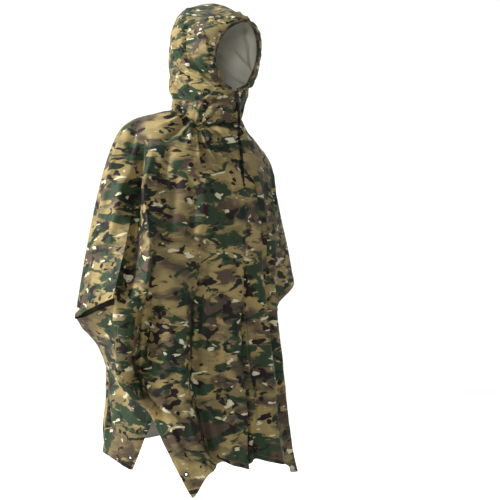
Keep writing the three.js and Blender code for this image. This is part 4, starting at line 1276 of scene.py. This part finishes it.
def puckered(along, around):
    """Radius of the gathered channel, with puckers across it and uneven looseness round it."""
    pucker = np.cos(2 * np.pi * along * 62 + 1.5 * np.sin(along * 90)) * (0.5 + 0.5 * np.sin(along * 47 + 1) ** 2)
    loose = value_noise(along * 80, around / np.pi * 3, 61)
    return CHANNEL / 2 * (1.04 + 0.07 * pucker + 0.07 * loose)


def make_hood(materials, channel_painted_shade_material, thread_material):
    bodies, lines = [], []
    for name, side in (("right", -1), ("left", 1)):
        body, new_lines = hood_half(name, side, materials)
        bodies.append(body)
        lines += new_lines
    ups = np.linspace(CHANNEL_FOOT_ROW, CHANNEL_TOP_ROW, 16)
    rim = [rim_point(-1, up) for up in ups] + [rim_point(1, up) for up in ups[::-1]]
    channel = piece("face_channel_gathered", tube_mesh(
        "face_channel_gathered", dense(rim, 620), puckered, 20, channel_painted_shade_material), "channel", "face_channel")
    stitches = piece("hood_stitches", stitch_mesh("hood_stitches", lines, thread_material), "cloth")


def make_lock(plastic):
    """Cord lock: an oval barrel with a collar, and a round push button."""
    x, y, foot = CORD_ROUTE[0]
    barrel = [(r * LOCK_WIDTH, foot + LOCK_GAP + h * LOCK_LENGTH) for r, h in (
        (0.02, 0), (0.34, 0), (0.42, 0.03), (0.48, 0.09), (0.5, 0.16), (0.5, 0.70), (0.47, 0.73), (0.47, 0.77),
        (0.5, 0.80), (0.5, 0.90), (0.46, 0.96), (0.40, 1), (0.02, 1))]
    mesh = lathe_mesh("cord_lock_body", barrel, 48, (0, 0, 0), (0, 0, 1), plastic)
    flatten(mesh, LOCK_DEPTH / LOCK_WIDTH, x, y)
    piece("cord_lock_body", mesh, "plastic", "cord_lock_barrel")
    top = foot + LOCK_GAP + LOCK_LENGTH
    button = [(r, top + h) for r, h in (
        (0.1, 0.1), (3.2, 0.1), (3.6, 0.6), (3.6, 3.0), (3.9, 3.6), (4.0, 4.4), (3.9, 6.0), (3.3, 7.0), (0.1, 7.1))]
    mesh = lathe_mesh("cord_lock_push", button, 36, (0, 0, 0), (0, 0, 1), plastic)
    flatten(mesh, 1, x, y)
    piece("cord_lock_push", mesh, "plastic", "cord_lock_button")


def flatten(mesh, factor, x, y):
    """Presses a turned piece flat along Y and moves it to its place."""
    for vertex in mesh.vertices:
        vertex.co.x += x * MM
        vertex.co.y = vertex.co.y * factor + y * MM


def make_stage():
    """Pale floor that curves up all round into a backdrop."""
    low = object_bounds()[0][2] - FLOOR_DROP
    profile = [(0.01, low)] + [(FLOOR_RADIUS * k / 6, low) for k in range(1, 6)]
    for k in range(1, 13):
        angle = math.pi / 2 * k / 12
        profile.append((FLOOR_RADIUS - 1.2 + 1.2 * math.sin(angle), low + 1.2 * (1 - math.cos(angle))))
    profile.append((FLOOR_RADIUS, low + WALL_HEIGHT))
    sides = 96
    points = [(r * math.cos(2 * math.pi * k / sides) / MM, r * math.sin(2 * math.pi * k / sides) / MM, z / MM)
              for r, z in profile for k in range(sides)]
    faces = []
    for ring in range(len(profile) - 1):
        for k in range(sides):
            nxt = (k + 1) % sides
            faces.append((ring * sides + k, ring * sides + nxt, (ring + 1) * sides + nxt, (ring + 1) * sides + k))
    faces.append(tuple(range(sides)))
    floor = link(bpy.data.objects.new("floor", mesh_from("floor", points, faces, [pale_floor()])))


# Soft lights: azimuth round the object and height, both seen from its middle, then size, power, and where the light
# points: at the object, or out at the backdrop behind it
LIGHTS = table(("name", "azimuth", "away", "height", "size", "power", "target"), [
    ["key", -100, 2.4, 1.35, 0.6, 135, 0],
    ["face", -38, 3.4, 0.40, 0.8, 32, 0],
    ["far_side", 75, 3.0, 0.9, 1.4, 8, 0],
    ["top", 200, 0.9, 2.7, 1.6, 45, 0],
    ["backdrop", 150, 1.6, 2.3, 1.2, 190, 7.0],
])


def make_lights():
    middle = Vector((0, 0, -0.35))
    for light in LIGHTS:
        outward = Vector((math.sin(math.radians(light["azimuth"])), -math.cos(math.radians(light["azimuth"])), 0))
        data = bpy.data.lights.new(light["name"], "AREA")
        data.shape = "DISK"
        data.size = light["size"]
        data.energy = light["power"]
        lamp = link(bpy.data.objects.new(light["name"], data))
        lamp.location = middle + outward * light["away"] + Vector((0, 0, light["height"]))
        lamp.rotation_mode = "QUATERNION"
        lamp.rotation_quaternion = (lamp.location - middle - outward * light["target"]).to_track_quat("Z", "Y")
    world = bpy.data.worlds.new("studio")
    world.use_nodes = True
    world.node_tree.nodes["Background"].inputs["Color"].default_value = (1, 1, 1, 1)
    world.node_tree.nodes["Background"].inputs["Strength"].default_value = 0.26
    bpy.context.scene.world = world
    bpy.context.scene.view_settings.view_transform = "Standard"


make_camera()
make_cords(braided_cord())
# One grey coating in two copies: the body's inside is darkened as painted shade for the shadowed slits at the cuffs,
# and the hood's inside is lightened as painted light for its lit inside
cloth = [camouflage_cloth("camouflage_cloth", 0.0, 1.0), coated_inside("body_inside_painted_shade", (0.19, 0.18, 0.15), (0.24, 0.23, 0.19))]
hood_cloth = [camouflage_cloth("camouflage_hood", 8.9, 1.4), coated_inside("hood_inside_painted_light", (0.56, 0.545, 0.46), (0.66, 0.645, 0.55))]
sewing = thread()
metal = worn_metal()
make_panels(cloth, sewing, metal)
make_hood(hood_cloth, channel_cloth_painted_shade(), sewing)
make_lock(moulded_plastic())
make_stage()
make_lights()
